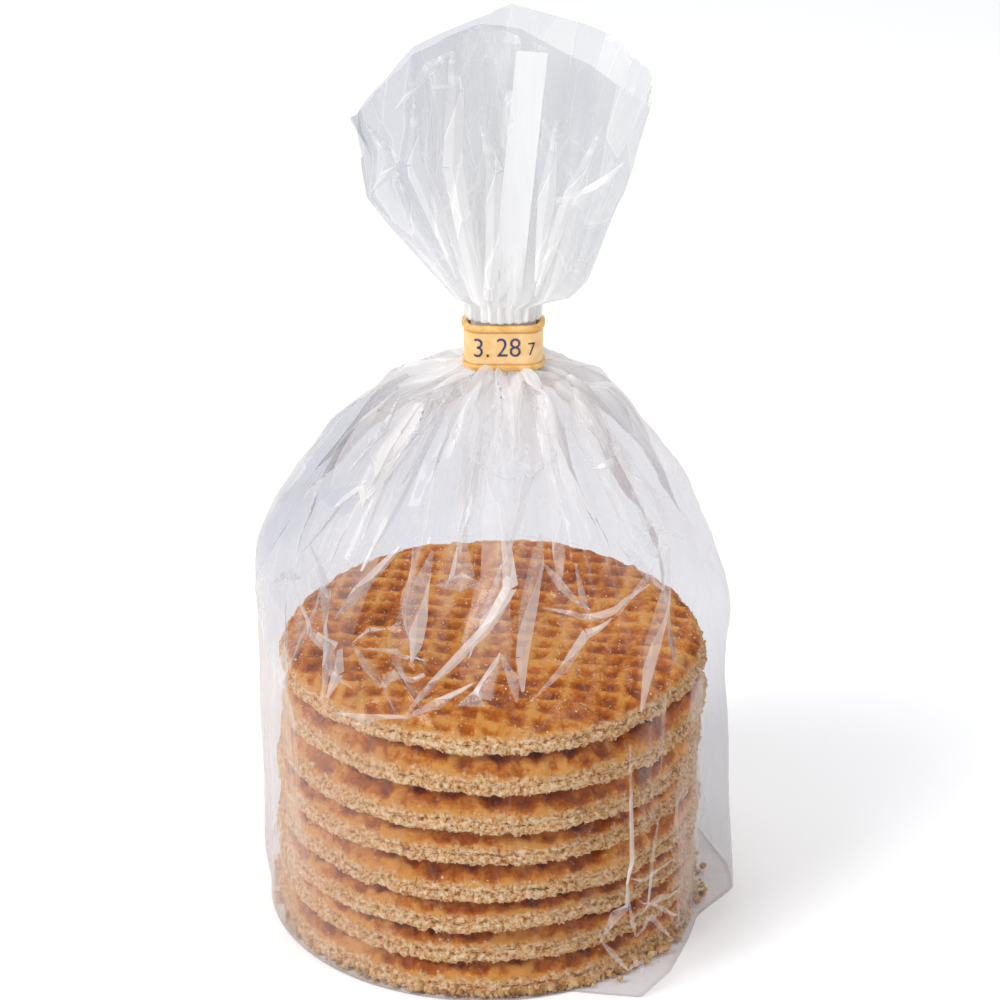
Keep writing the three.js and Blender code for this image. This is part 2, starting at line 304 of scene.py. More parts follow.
def waferTree(material):
    tree = bpy.data.node_groups.new("wafer surface", "GeometryNodeTree")
    face = tree.interface
    face.new_socket("Geometry", in_out="INPUT", socket_type="NodeSocketGeometry")
    for name in ("Cell Size", "Cell Turn", "Cell Depth", "Edge Wobble", "Crumb Depth", "Crumb Density",
                 "Radius", "Lip Wobble", "Bend Seed", "Seed"):
        face.new_socket(name, in_out="INPUT", socket_type="NodeSocketFloat")
    face.new_socket("Geometry", in_out="OUTPUT", socket_type="NodeSocketGeometry")
    add = partial(addNode, tree)

    given = add("NodeGroupInput").outputs
    position = add("GeometryNodeInputPosition")
    normal = add("GeometryNodeInputNormal")
    crust = add("GeometryNodeInputNamedAttribute", {"Name": "crust"},
                data_type="FLOAT").outputs["Attribute"]
    bare = add("Math", [1.0, crust], operation="SUBTRACT")
    apart = add("SeparateXYZ", [position]).outputs
    level = add("CombineXYZ", [apart["X"], apart["Y"]])
    noise = {}
    for name, (seed, scale, detail, roughness) in waferNoise.items():
        noise[name] = add("TexNoise", {"Vector": position if seed == "Seed" else level, "W": given[seed],
                                       "Scale": scale, "Detail": detail, "Roughness": roughness},
                          noise_dimensions="4D").outputs
    centred = {name: add("Math", [noise[name]["Fac"], 0.5], operation="SUBTRACT")
               for name in ("crumb", "wave", "bend", "lip")}

    # The square cells pressed into the crust: 0 on a cell's floor and 1 on the ridges between.
    turned = add("VectorRotate", {"Vector": position, "Angle": given["Cell Turn"]}, rotation_type="Z_AXIS")
    warp = add("VectorMath", [noise["warp"]["Color"], (0.5, 0.5, 0.5)], operation="SUBTRACT")
    wander = waffle["cellWander"] * mm
    warped = add("VectorMath", [warp, (wander, wander, 0.0), turned], operation="MULTIPLY_ADD")
    perCell = add("Math", [1.0, given["Cell Size"]], operation="DIVIDE")
    scaled = add("VectorMath", {0: warped, "Scale": perCell}, operation="SCALE")
    inCell = add("VectorMath", [scaled], operation="FRACTION")
    fromMiddle = add("VectorMath", [inCell, (0.5, 0.5, 0.0)], operation="SUBTRACT")
    away = add("SeparateXYZ", [add("VectorMath", [fromMiddle], operation="ABSOLUTE")]).outputs
    edges = [add("MapRange", {"Value": away[side], "From Min": 0.08, "From Max": 0.46},
                 interpolation_type="SMOOTHSTEP") for side in ("X", "Y")]
    lattice = add("Math", [*edges, 0.3], operation="SMOOTH_MAX")
    uneven = add("MapRange", {"Value": noise["pressed"]["Fac"], "From Min": 0.3, "From Max": 0.62,
                              "To Min": 0.4, "To Max": 1.0})
    ridge = add("Math", [lattice, uneven], operation="MULTIPLY")
    ridgeOnCrust = add("Math", [ridge, crust], operation="MULTIPLY")
    below = add("Math", [ridge, 1.0], operation="SUBTRACT")
    cellDrop = add("Math", [below, given["Cell Depth"]], operation="MULTIPLY")
    cellOnCrust = add("Math", [cellDrop, crust], operation="MULTIPLY")

    # The crumb: full on the cut edge, about half as high on the crust, and less at the left, where the rim
    # of the iron pressed it smooth.
    lumps = add("TexVoronoi", {"Vector": position, "W": given["Seed"], "Scale": 800.0},
                voronoi_dimensions="4D", feature="SMOOTH_F1")
    lumpHeight = add("Math", [0.45, lumps.outputs["Distance"]], operation="SUBTRACT")
    coarseHeight = add("Math", [centred["crumb"], 1.6, lumpHeight], operation="MULTIPLY_ADD")
    crumbAmount = add("Math", [bare, 0.55], operation="ADD")
    ragged = add("MapRange", {"Value": apart["X"], "From Min": -0.044, "From Max": -0.008,
                              "To Min": 0.45, "To Max": 1.0})
    crumbHere = add("Math", [crumbAmount, ragged], operation="MULTIPLY")
    crumbHeight = add("Math", [coarseHeight, crumbHere], operation="MULTIPLY")
    crumbRise = add("Math", [crumbHeight, given["Crumb Depth"]], operation="MULTIPLY")
    rise = add("Math", [cellOnCrust, crumbRise], operation="ADD")
    riseAlong = add("VectorMath", {0: normal, "Scale": rise}, operation="SCALE")

    # The cut edge runs in and out, the wafer is a little bent, and the rim of the crust is ragged.
    outwards = add("VectorMath", [level], operation="NORMALIZE")
    fromAxis = add("VectorMath", [level], operation="LENGTH").outputs["Value"]
    share = add("Math", [fromAxis, given["Radius"]], operation="DIVIDE")
    nearEdge = add("MapRange", {"Value": share, "From Min": 0.75, "From Max": 1.0},
                   interpolation_type="SMOOTHSTEP")
    waveOut = add("Math", [centred["wave"], given["Edge Wobble"]], operation="MULTIPLY")
    waveHere = add("Math", [waveOut, nearEdge], operation="MULTIPLY")
    runOut = add("VectorMath", {0: outwards, "Scale": waveHere}, operation="SCALE")
    bendHere = add("Math", [centred["bend"], nearEdge], operation="MULTIPLY")
    lipHere = add("Math", [centred["lip"], bare], operation="MULTIPLY")
    lipRise = add("Math", [lipHere, given["Lip Wobble"]], operation="MULTIPLY")
    bendRise = add("Math", [bendHere, waffle["bend"] * mm, lipRise], operation="MULTIPLY_ADD")
    bendUp = add("CombineXYZ", {"Z": bendRise})
    sideways = add("VectorMath", [runOut, bendUp], operation="ADD")
    offset = add("VectorMath", [riseAlong, sideways], operation="ADD")
    shaped = add("GeometryNodeSetPosition", {"Geometry": given["Geometry"], "Offset": offset})
    kept = add("GeometryNodeStoreNamedAttribute",
               {"Geometry": shaped, "Name": "ridge", "Value": ridgeOnCrust},
               data_type="FLOAT", domain="POINT")

    # Loose bits that cling to the cut edge.
    raggedEdge = add("Math", [nearEdge, ragged], operation="MULTIPLY")
    wanted = add("Math", [bare, raggedEdge], operation="MULTIPLY")
    density = add("Math", [wanted, given["Crumb Density"]], operation="MULTIPLY")
    spots = add("GeometryNodeDistributePointsOnFaces", {"Mesh": kept, "Density": density, "Seed": 7})
    bit = add("GeometryNodeMeshIcoSphere", {"Radius": waffle["clingingBit"] * mm, "Subdivisions": 1})
    size = add("FunctionNodeRandomValue", {"Min": (0.35, 0.35, 0.3), "Max": (1.65, 1.4, 1.2), "Seed": 3},
               data_type="FLOAT_VECTOR")
    spin = add("FunctionNodeRandomValue", {"Min": (0.0, 0.0, 0.0), "Max": (6.3, 6.3, 6.3), "Seed": 5},
               data_type="FLOAT_VECTOR")
    clinging = add("GeometryNodeInstanceOnPoints", {"Points": spots, "Instance": bit, "Rotation": spin,
                                                    "Scale": size})
    loose = add("GeometryNodeRealizeInstances", {"Geometry": clinging})
    jag = add("TexNoise", {"Vector": position, "Scale": 1500.0, "Detail": 0.0}, noise_dimensions="3D")
    jagCentred = add("VectorMath", [jag.outputs["Color"], (0.5, 0.5, 0.5)], operation="SUBTRACT")
    jagOut = add("VectorMath", {0: jagCentred, "Scale": 0.0005}, operation="SCALE")
    jagged = add("GeometryNodeSetPosition", {"Geometry": loose, "Offset": jagOut})
    plain = add("GeometryNodeStoreNamedAttribute", {"Geometry": jagged, "Name": "crust", "Value": 0.0},
                data_type="FLOAT", domain="POINT")
    together = add("GeometryNodeJoinGeometry")
    for made in (kept, plain):
        tree.links.new(made.outputs[0], together.inputs[0])
    whole = add("GeometryNodeRealizeInstances", {"Geometry": together})
    finished = add("GeometryNodeSetMaterial", {"Geometry": whole, "Material": material})
    add("NodeGroupOutput", [finished])
    return tree


def runTree(piece, tree, values):  # gives the tree's result as the piece's own plain mesh
    modifier = piece.modifiers.new("shape", "NODES")
    modifier.node_group = tree
    for socket in tree.interface.items_tree:
        if socket.item_type == "SOCKET" and socket.in_out == "INPUT" and socket.name in values:
            modifier[socket.identifier] = values[socket.name]
    graph = bpy.context.evaluated_depsgraph_get()
    graph.update()
    result = bpy.data.meshes.new_from_object(piece.evaluated_get(graph))
    piece.modifiers.remove(modifier)
    piece.data = result
    result.polygons.foreach_set("use_smooth", [True] * len(result.polygons))
    return piece


def placeWaffle(piece, k, height):  # the lowest one is pressed flat by the stack
    points = meshPoints(piece) + np.array([waffle["shiftX"][k], waffle["shiftY"][k], height]) * mm
    points[:, 2] = np.maximum(points[:, 2], waffle["filmBelow"] * mm)
    piece.data.vertices.foreach_set("co", points.ravel())
    piece.data.update()


dough = {
    # colours by how brown they are, as (place, colour), and single colours
    "crust": [(0.46, "#652803"), (0.66, "#a04a03"), (0.84, "#cc6f0e"), (1.0, "#eaa24a")],
    "cut": [(0.33, "#9b5c22"), (0.46, "#ecb370"), (0.62, "#ffeac4")],
    "tanned": "#cf8743",
    # the crumb's darker golden at the right is painted shade
    "golden": "#a96f2c",
    # what is added to how pale the crust is: at its edge, further in, on the top waffle and at the right
    "atEdge": 0.10,
    # further in, the darker crust is painted shade of the recess under the waffle above
    "inside": -0.28,
    "onTop": -0.25,
    # at the right, the darker crust is painted shade on the side away from the key light
    "shadeAtRight": -0.13,
    "topFrom": (61.5, 63.5),  # mm, the heights between which the top waffle starts
    "rightFrom": (8, 34),  # mm across
    "tannedFrom": (-44, -12),
    # noise to the metre
    "blotch": 85.0,  # patches 12 mm wide
    "speckle": 420.0,  # 2.4 mm
    "grain": 1100.0,  # 0.9 mm, the open crumb
    "bump": 0.4,  # mm
}


def bakedWafer():
    # Thin yeast dough baked between hot irons: brown and faintly greasy where the iron pressed, and pale,
    # dry and crumbly where it was cut.
    material, add = newMaterial("baked wafer dough")
    place = add("TexCoord").outputs["Object"]
    crust = add("Attribute", attribute_name="crust").outputs["Fac"]
    ridge = add("Attribute", attribute_name="ridge").outputs["Fac"]
    blotch = add("TexNoise", {"Vector": place, "Scale": dough["blotch"], "Detail": 5.0, "Roughness": 0.62})
    grain = add("TexNoise", {"Vector": place, "Scale": dough["grain"], "Detail": 3.0, "Roughness": 0.7})
    speckle = add("TexNoise", {"Vector": place, "Scale": dough["speckle"], "Detail": 3.0,
                               "Roughness": 0.65})
    tone = add("Math", [ridge, 0.32, blotch.outputs["Fac"]], operation="MULTIPLY_ADD")
    toneSpeckled = add("Math", [speckle.outputs["Fac"], 0.42, tone], operation="MULTIPLY_ADD")
    toneFine = add("Math", [grain.outputs["Fac"], 0.44, toneSpeckled], operation="MULTIPLY_ADD")
    # The crust is palest towards the cut edge and darker further in, which is painted shade of the recess
    # under the waffle above, and darker again at the right, which is painted shade on the side away from
    # the key light. The top waffle is evenly brown.
    apart = add("SeparateXYZ", [place]).outputs
    low, high = [edge * mm for edge in dough["topFrom"]]
    onTop = add("MapRange", {"Value": apart["Z"], "From Min": low, "From Max": high})
    # Painted shade at the right, on the side away from the key light.
    low, high = [edge * mm for edge in dough["rightFrom"]]
    baked = add("MapRange", {"Value": apart["X"], "From Min": low, "From Max": high,
                             "To Max": -dough["shadeAtRight"]})
    # Paler at the cut edge, and painted shade further in, for the recess under the waffle above.
    edgePaleRecessShade = add("MapRange", {"Value": crust, "From Min": 0.5, "From Max": 1.0, "To Min": dough["atEdge"],
                             "To Max": dough["inside"]})
    stacked = add("Math", [edgePaleRecessShade, baked], operation="SUBTRACT")
    shade = add("Mix", {0: onTop, 2: stacked, 3: dough["onTop"]})
    shaded = add("Math", [toneFine, shade], operation="ADD")
    browned = fillRamp(add("ValToRGB", {"Fac": shaded}), dough["crust"])
    cut = fillRamp(add("ValToRGB", {"Fac": grain.outputs["Fac"]}), dough["cut"])
    # Where the dough ran against the iron's rim the cut edge is smooth and tanned.
    low, high = [edge * mm for edge in dough["tannedFrom"]]
    tanned = add("MapRange", {"Value": apart["X"], "From Min": low, "From Max": high, "To Min": 0.6,
                              "To Max": 0.0})
    tannedHere = add("Math", [tanned, blotch.outputs["Fac"]], operation="MULTIPLY")
    crumb = add("Mix", {0: tannedHere, 6: cut, 7: linear(dough["tanned"])}, data_type="RGBA")
    patchy = add("Math", [speckle.outputs["Fac"], 1.9, -0.95], operation="MULTIPLY_ADD")
    share = add("Math", [crust, patchy], operation="ADD", use_clamp=True)
    onCrust = add("MapRange", {"Value": share, "From Min": 0.25, "From Max": 0.75})
    golden = add("Math", [baked, 2.6], operation="MULTIPLY")  # up to a third golden at the right: painted shade on the crumb away from the key light
    crumbTone = add("Mix", {0: golden, 6: crumb.outputs[2], 7: linear(dough["golden"])}, data_type="RGBA")
    colour = add("Mix", {0: onCrust, 6: crumbTone.outputs[2], 7: browned}, data_type="RGBA")
    rough = add("MapRange", {"Value": crust, "To Min": 0.9, "To Max": 0.45})
    bump = add("Bump", {"Height": grain.outputs["Fac"], "Strength": 0.8, "Distance": dough["bump"] * mm})
    shader = add("BsdfPrincipled", {"Base Color": colour.outputs[2], "Roughness": rough, "Normal": bump,
                                    "IOR": 1.45, "Specular IOR Level": 0.22})
    add("OutputMaterial", {"Surface": shader})
    return material


syrup = {
    "colours": [(0.3, "#8a5424"), (0.7, "#c48a50")],
    "flow": 300.0,  # streaks 3.3 mm apart
}


def caramelSyrup():
    # Set caramel of sugar, butter and cinnamon: amber and glossy, in darker and lighter streaks.
    return mottled("caramel syrup", syrup["flow"], 2.0, syrup["colours"], {"Roughness": 0.25, "IOR": 1.48})


def buildWaffles():
    tree, syrupTree = waferTree(bakedWafer()), waferTree(caramelSyrup())
    height = 0.0
    count = len(waffle["thickness"])
    for k, thickness in enumerate(waffle["thickness"]):
        common = {
            "Cell Size": waffle["cellSize"] * mm, "Cell Turn": math.radians(waffle["cellTurn"][k]),
            "Cell Depth": waffle["cellDepth"] * mm, "Edge Wobble": waffle["edgeWobble"] * mm,
            "Radius": waffle["radius"] * mm, "Lip Wobble": waffle["lipWobble"] * mm, "Bend Seed": k + 0.5,
        }
        parts = [
            ("upper", upperProfile(thickness, k == count - 1), tree, k + 0.0, "waffle"),
            ("syrup", syrupProfile(), syrupTree, k + 40.0, "syrup"),
            ("lower", lowerProfile(), tree, k + 20.0, "crumb"),
        ]
        for part, profile, surface, seed, slot in parts:
            piece = latheDisc(f"waffle_{k + 1}_{part}", profile, waffle["around"][part])
            own = {"Crumb Depth": waffle["crumbDepth"][part] * mm, "Seed": seed,
                   "Crumb Density": waffle["crumbDensity"][part]}
            runTree(piece, surface, {**common, **own})
            placeWaffle(piece, k, height)
            settle(piece, slot)
        height += thickness
        print(f"waffle {k + 1} of {count} stands at {height:.1f} mm", flush=True)
    return height


bits = {
    "sugar": 1500,
    "sugarSize": (0.12, 0.24),  # mm, half a grain's width
    "crumbs": 760,
    "crumbSize": (0.15, 1.0),
    "crumbsInFront": 0.6,  # the share of them that lies in front, to the right
    "gap": 0.4,  # mm between a crumb and the film
    "sugarPatch": 500.0,  # noise to the metre: another shade every 2 mm
    "crumbPatch": 420.0,
    "sugarColours": [(0.35, "#c98f50"), (0.5, "#e9c08a"), (0.65, "#fff0d4")],
    "crumbColours": [(0.32, "#99602a"), (0.48, "#cf9d5e"), (0.68, "#f2cf98")],
}


def jaggedBits(name, places, sizes, seed):
    # one mesh of small broken pieces, each an icosahedron of its own shape
    rng = np.random.default_rng(seed)
    golden = (1 + 5 ** 0.5) / 2
    corners = np.array([(0, a, b * golden) for a in (-1, 1) for b in (-1, 1)], float)
    corners = np.vstack([corners, corners[:, [2, 0, 1]], corners[:, [1, 2, 0]]]) / math.hypot(1, golden)
    gaps = np.linalg.norm(corners[:, None] - corners[None], axis=-1)
    near = (gaps > 0.1) & (gaps < 1.2)
    faces = []
    for i in range(12):
        for j in range(i + 1, 12):
            for k in range(j + 1, 12):
                if near[i, j] and near[j, k] and near[i, k]:
                    across = np.cross(corners[j] - corners[i], corners[k] - corners[i])
                    faces.append((i, j, k) if np.dot(across, corners[i]) > 0 else (i, k, j))
    count = len(places)
    turns, _ = np.linalg.qr(rng.normal(size=(count, 3, 3)))
    turns *= np.sign(np.linalg.det(turns))[:, None, None]
    shapes = corners[None] * rng.uniform(0.72, 1.28, (count, 12, 1)) * rng.uniform(0.7, 1.3, (count, 1, 3))
    turned = np.einsum("nij,nkj->nki", turns, shapes)
    points = turned * np.asarray(sizes)[:, None, None] + np.asarray(places)[:, None]
    index = (np.arange(count)[:, None, None] * 12 + np.array(faces)[None]).reshape(-1, 3)
    return newObject(name, points.reshape(-1, 3) * mm, index.tolist(), False)


def spotsOn(piece, count, seed):  # evenly spread places on the piece's faces that look up, in mm
    rng = np.random.default_rng(seed)
    mesh = piece.data
    mesh.calc_loop_triangles()
    corners = np.empty(len(mesh.loop_triangles) * 3, int)
    mesh.loop_triangles.foreach_get("vertices", corners)
    triangles = meshPoints(piece)[corners.reshape(-1, 3)]
    across = np.cross(triangles[:, 1] - triangles[:, 0], triangles[:, 2] - triangles[:, 0])
    area = np.linalg.norm(across, axis=1) * (across[:, 2] > 0.5 * np.linalg.norm(across, axis=1))
    picked = rng.choice(len(area), count, p=area / area.sum())
    a, b = rng.uniform(size=(2, count, 1))
    over = a + b > 1
    a, b = np.where(over, 1 - a, a), np.where(over, 1 - b, b)
    chosen = triangles[picked]
    return (chosen[:, 0] + a * (chosen[:, 1] - chosen[:, 0]) + b * (chosen[:, 2] - chosen[:, 0])) / mm


def buildSugar(topWaffle):
    rng = np.random.default_rng(31)
    places = spotsOn(topWaffle, bits["sugar"], 32)
    sizes = rng.uniform(*bits["sugarSize"], len(places))
    return jaggedBits("sugar_grains", places + (0, 0, 0.08), sizes, 33)


def buildCrumbs(pouch):  # fallen crumbs, caught between the stack's foot and the film
    rng = np.random.default_rng(41)
    count = bits["crumbs"]
    low, high = bits["crumbSize"]
    sizes = low + (high - low) * rng.uniform(0, 1, count) ** 2.5
    inFront = rng.uniform(size=count) < bits["crumbsInFront"]
    turns = np.where(inFront, rng.normal(-0.9, 0.5, count), rng.uniform(-math.pi, math.pi, count))
    away = waffle["radius"] + 1.4 + np.abs(rng.normal(0, 1.3, count))
    wall = meshPoints(pouch) / mm
    wall = wall[(wall[:, 2] > 0.8) & (wall[:, 2] < 3.5)]
    wallTurns = np.arctan2(wall[:, 1], wall[:, 0] - waffle["shiftX"][0])
    wallAway = np.hypot(wall[:, 1], wall[:, 0] - waffle["shiftX"][0])
    for k in range(count):
        near = np.cos(wallTurns - turns[k]) > 0.999
        away[k] = min(away[k], wallAway[near].min() - sizes[k] - bits["gap"])
    across, back = away * np.cos(turns) + waffle["shiftX"][0], away * np.sin(turns)
    places = np.stack([across, back, 1.3 * sizes + 0.3], 1)
    return jaggedBits("loose_crumbs", places, sizes, 42)


def sugarCrystal():
    # Cane sugar baked on: small crystals, clear to pale gold, that glint.
    finish = {"Roughness": 0.2, "IOR": 1.54}
    return mottled("cane sugar crystal", bits["sugarPatch"], 1.0, bits["sugarColours"], finish)


def dryCrumb():
    # Bits broken from the cut edge: dry, matt and pale gold, a few of them browned.
    return mottled("dry wafer crumb", bits["crumbPatch"], 3.0, bits["crumbColours"], {"Roughness": 0.85})


film = {
    "girth": 338.0,  # mm round the bag
    "neckGirth": 200.0,  # what of it shows as pleats at the neck; the rest is folded away inside
    "side": 62.0,  # mm of film from the base's edge to the stack's rim
    "shoulder": 85.0,  # mm of film from the rim to the neck
    # the upright folds: which way they stick out, in degrees, and how far at the foot and at the rim
    "folds": [(-55, 57, 52), (-3, 54.5, 50), (36, 58, 54), (147, 58, 57), (183, 49.5, 49.5)],
    "neckHalf": (6.8, 3.0),  # mm, what the band leaves free
    # (radius, height) from the stack's rim to the neck, at the sides and in front
    "shoulderSide": [(46.5, 62), (46.6, 72), (43.8, 84), (36.5, 100),
                     (30.5, 110), (24.5, 119), (18, 124.5), (10, 126.5)],
    "shoulderFront": [(46.5, 62), (42.5, 69), (36, 83), (29.5, 99),
                      (23.5, 112), (18.5, 120), (14, 124.5), (10, 126.5)],
    "crumple": (-47, 16, 18, 13),  # where it is crushed: degrees, half spread, mm up, half spread
    "rows": 117,
    "columns": 160,
    "settling": [(200, 0.004), (110, 0.002)],  # steps, and mm of sag in each: coarse, then twice as fine
    "bending": [(2, 0.1), (4, 0.05)],  # how many points apart, and how stiffly they are kept apart
    "pleats": [(7, 0.6), (13, 1.7), (28, 0.4)],  # how many go round, and their phase: wall, shoulder, neck
    "pleatDepth": (1.0, 8.0, 2.0),  # mm, everywhere, more half way up the shoulder, and more at the neck
    "facets": [(9, 26), (22, 60), (14, 160)],  # broad, narrow and slim ones, up and round
    "pull": (0.03, 0.014),  # the share of the way back to its first place, each step: wall, shoulder
    "drag": 0.82,  # the share of its motion that a point keeps
    "slant": 0.7,  # how stiffly it is held against shear
    "crinkle": 0.25,  # mm, how far a point may start from the smooth sheet
    "sharpening": (5, 0.33),  # rounds, and how unlike two facets' directions may be before a crease forms
    "footShift": -0.9,  # mm, where the middle of the wall's foot lies, to the right
    "tight": 1.2,  # mm between the crust's radius and tight film
    "overhang": 2.1,  # mm of crumb that stands out past the crust's radius
    "clearance": 0.5,  # mm between the film and the waffles
    "rimDrop": 3.8,  # mm that the film falls over the rounded rim
    "stackBack": (-0.7, -0.1, 1.8),  # mm back that the stack is at its foot, 0.7 of the way up and on top
    "underStack": 0.12,  # height of the folded base
    "foot": 0.15,  # lowest height of the wall
    "seed": 11,
}


def foldedOutline(folds, radius, turns, up):  # distance from the middle of tight film in each direction
    reach = np.full(turns.shape, radius)
    angles = [math.radians(f[0]) for f in folds]
    outs = [f[1] + (f[2] - f[1]) * up for f in folds]
    for k in range(len(folds)):
        away = np.abs(np.angle(np.exp(1j * (turns - angles[k]))))
        tangent = math.acos(min(1, radius / outs[k]))
        reach = np.maximum(reach, radius / np.cos(np.clip(tangent - away, 0, None)))
        nextK = (k + 1) % len(folds)
        span = (angles[nextK] - angles[k]) % (2 * math.pi)
        turn = (turns - angles[k]) % (2 * math.pi)
        below = outs[k] * np.sin(turn) + outs[nextK] * np.sin(span - turn)
        chord = outs[k] * outs[nextK] * math.sin(span) / np.where(turn < span, np.maximum(below, 1e-6), 1e9)
        reach = np.maximum(reach, np.where(turn < span, chord, 0))
    return reach


def ringPoints(curve, girth, count):
    # curve(amount) gives a closed outline, whose pleats are deepened until it has the girth
    def length(points):
        return np.linalg.norm(np.roll(points, -1, 0) - points, axis=1).sum()
    low, high = 0.0, 1.0
    for _ in range(22):
        middle = (low + high) / 2
        if length(curve(middle)) < girth:
            low = middle
        else:
            high = middle
    points = curve((low + high) / 2)
    steps = np.linalg.norm(np.roll(points, -1, 0) - points, axis=1)
    along = np.concatenate([[0], np.cumsum(steps)])
    closed = np.vstack([points, points[:1]])
    wanted = np.arange(count) / count * along[-1]
    return np.stack([np.interp(wanted, along, closed[:, k]) for k in range(closed.shape[1])], 1)


def pullPairs(a, b, rest, stiffness, onlyPush=False):  # brings each pair of points back to its distance
    gap = b - a
    length = np.sqrt((gap * gap).sum(-1)) + 1e-9
    share = 0.5 * stiffness * (length - rest) / length
    if onlyPush:
        share = np.minimum(share, 0)
    gap *= share[..., None]
    a += gap
    b -= gap


def relaxAcross(points, rest, reach, stiffness, onlyPush=False):  # pairs that lie reach columns apart
    rows, columns = points.shape[:2]
    for start in (0, reach):
        turned = np.roll(points, -start, 1).reshape(rows, columns // (2 * reach), 2 * reach, 3)
        lengths = np.roll(rest, -start, 1).reshape(rows, columns // (2 * reach), 2 * reach)[:, :, :reach]
        pullPairs(turned[:, :, :reach], turned[:, :, reach:], lengths, stiffness, onlyPush)
        points[:] = np.roll(turned.reshape(rows, columns, 3), start, 1)


def relaxDown(points, rest, reach, stiffness, onlyPush=False):  # pairs that lie reach rows apart
    rows, columns = points.shape[:2]
    for start in (0, reach):
        blocks = (rows - start) // (2 * reach)
        part = points[start:start + blocks * 2 * reach].reshape(blocks, 2 * reach, columns, 3)
        lengths = rest[start:start + blocks * 2 * reach].reshape(blocks, 2 * reach, columns)[:, :reach]
        pullPairs(part[:, :reach], part[:, reach:], lengths, stiffness, onlyPush)


def relaxSlanted(points, rest, turn, stiffness):  # pairs one row and one column apart
    for start in (0, 1):
        blocks = (points.shape[0] - start) // 2
        upper = points[start:start + 2 * blocks:2]
        lower = np.roll(points[start + 1:start + 2 * blocks:2], turn, 1)
        pullPairs(upper, lower, rest[start:start + 2 * blocks:2], stiffness)
        points[start + 1:start + 2 * blocks:2] = np.roll(lower, -turn, 1)


def relaxFilm(points, across, down, steps, sag, held, pull, stackTop):
    # across and down are the film's flat distances between neighbouring columns and rows, and pull is the
    # share of the way back to its first place that each point goes in a step
    target = points.copy()
    fixed = points[held].copy()
    slanted = np.sqrt(((across[:-1] + across[1:]) / 2) ** 2 + down ** 2)
    slanted = np.vstack([slanted, slanted[-1:]])
    tall = np.vstack([down, down[-1:]])
    before = points.copy()
    for _ in range(steps):
        drift = (points - before) * film["drag"]
        before = points.copy()
        points += drift
        points[..., 2] -= sag
        points += (target - points) * pull
        for reach, share in film["bending"]:
            relaxAcross(points, across * reach, reach, share, True)
            relaxDown(points, tall * reach, reach, share, True)
        relaxAcross(points, across, 1, 1.0)
        relaxDown(points, tall, 1, 1.0)
        for turn in (1, -1):
            relaxSlanted(points, slanted, turn, film["slant"])
        keepOffStack(points, stackTop)
        points[held] = fixed
    return points


def finer(grid):  # twice the columns and rows, on smooth curves through the old ones
    def between(a, b, c, d):
        return (9 * (b + c) - (a + d)) / 16
    across = between(np.roll(grid, 1, 1), grid, np.roll(grid, -1, 1), np.roll(grid, -2, 1))
    wide = np.stack([grid, across], 2).reshape(grid.shape[0], grid.shape[1] * 2, *grid.shape[2:])
    padded = np.concatenate([2 * wide[:1] - wide[1:2], wide, 2 * wide[-1:] - wide[-2:-1]])
    down = between(padded[:-3], padded[1:-2], padded[2:-1], padded[3:])
    tall = np.empty((2 * wide.shape[0] - 1, *wide.shape[1:]))
    tall[0::2] = wide
    tall[1::2] = down
    return tall


def keepOffStack(points, top):  # pushes film points out of the waffles and up from the floor
    radius = waffle["radius"] + film["overhang"] + film["clearance"]
    x = points[..., 0] - np.interp(points[..., 2], [0, top], [waffle["shiftX"][0], 0])
    y = points[..., 1] - np.interp(points[..., 2], [0, 0.7 * top, top], film["stackBack"])
    away = np.hypot(x, y) + 1e-9
    inside = radius - away
    rounding = np.clip((away - (radius - waffle["round"])) / waffle["round"], 0, 1)
    crown = top + film["clearance"] - film["rimDrop"] * rounding ** 2.2
    above = crown - points[..., 2]
    hit = (inside > 0) & (above > 0)
    side = hit & (inside < above)
    points[..., 0] += np.where(side, x / away * inside, 0)
    points[..., 1] += np.where(side, y / away * inside, 0)
    points[..., 2] += np.where(hit & ~side, above, 0)
    np.maximum(points[..., 2], film["foot"], out=points[..., 2])


def sharpen(points, rounds, spread):  # flattens the film between its creases and makes the creases crisper
    for _ in range(rounds):
        right = np.roll(points, -1, 1)
        normal = np.cross(right[:-1] - points[1:], points[:-1] - right[1:])
        normal /= np.linalg.norm(normal, axis=-1, keepdims=True) + 1e-9
        for _ in range(3):
            total = normal * 1.0
            padded = np.concatenate([normal[2:0:-1], normal, normal[-2:-4:-1]])
            rows = normal.shape[0]
            for i in (-2, -1, 0, 1, 2):
                for j in (-2, -1, 0, 1, 2):
                    if (i, j) == (0, 0):
                        continue
                    other = np.roll(padded[2 + i:2 + i + rows], j, 1)
                    gap = ((other - normal) ** 2).sum(-1, keepdims=True)
                    total += other * np.exp(-gap / (2 * spread ** 2))
            normal = total / (np.linalg.norm(total, axis=-1, keepdims=True) + 1e-9)
        for _ in range(6):
            right = np.roll(points, -1, 1)
            middle = (points[:-1] + points[1:] + right[:-1] + right[1:]) / 4
            move = np.zeros_like(points)
            for i, j in ((0, 0), (1, 0), (0, 1), (1, 1)):
                corner = np.roll(points, -j, 1)[i:points.shape[0] - 1 + i]
                along = (normal * (middle - corner)).sum(-1, keepdims=True)
                step = np.roll(normal * along, j, 1)
                move[i:points.shape[0] - 1 + i] += step
            move[0] = 0
            move[-1] = 0
            points += move / 4
    return points


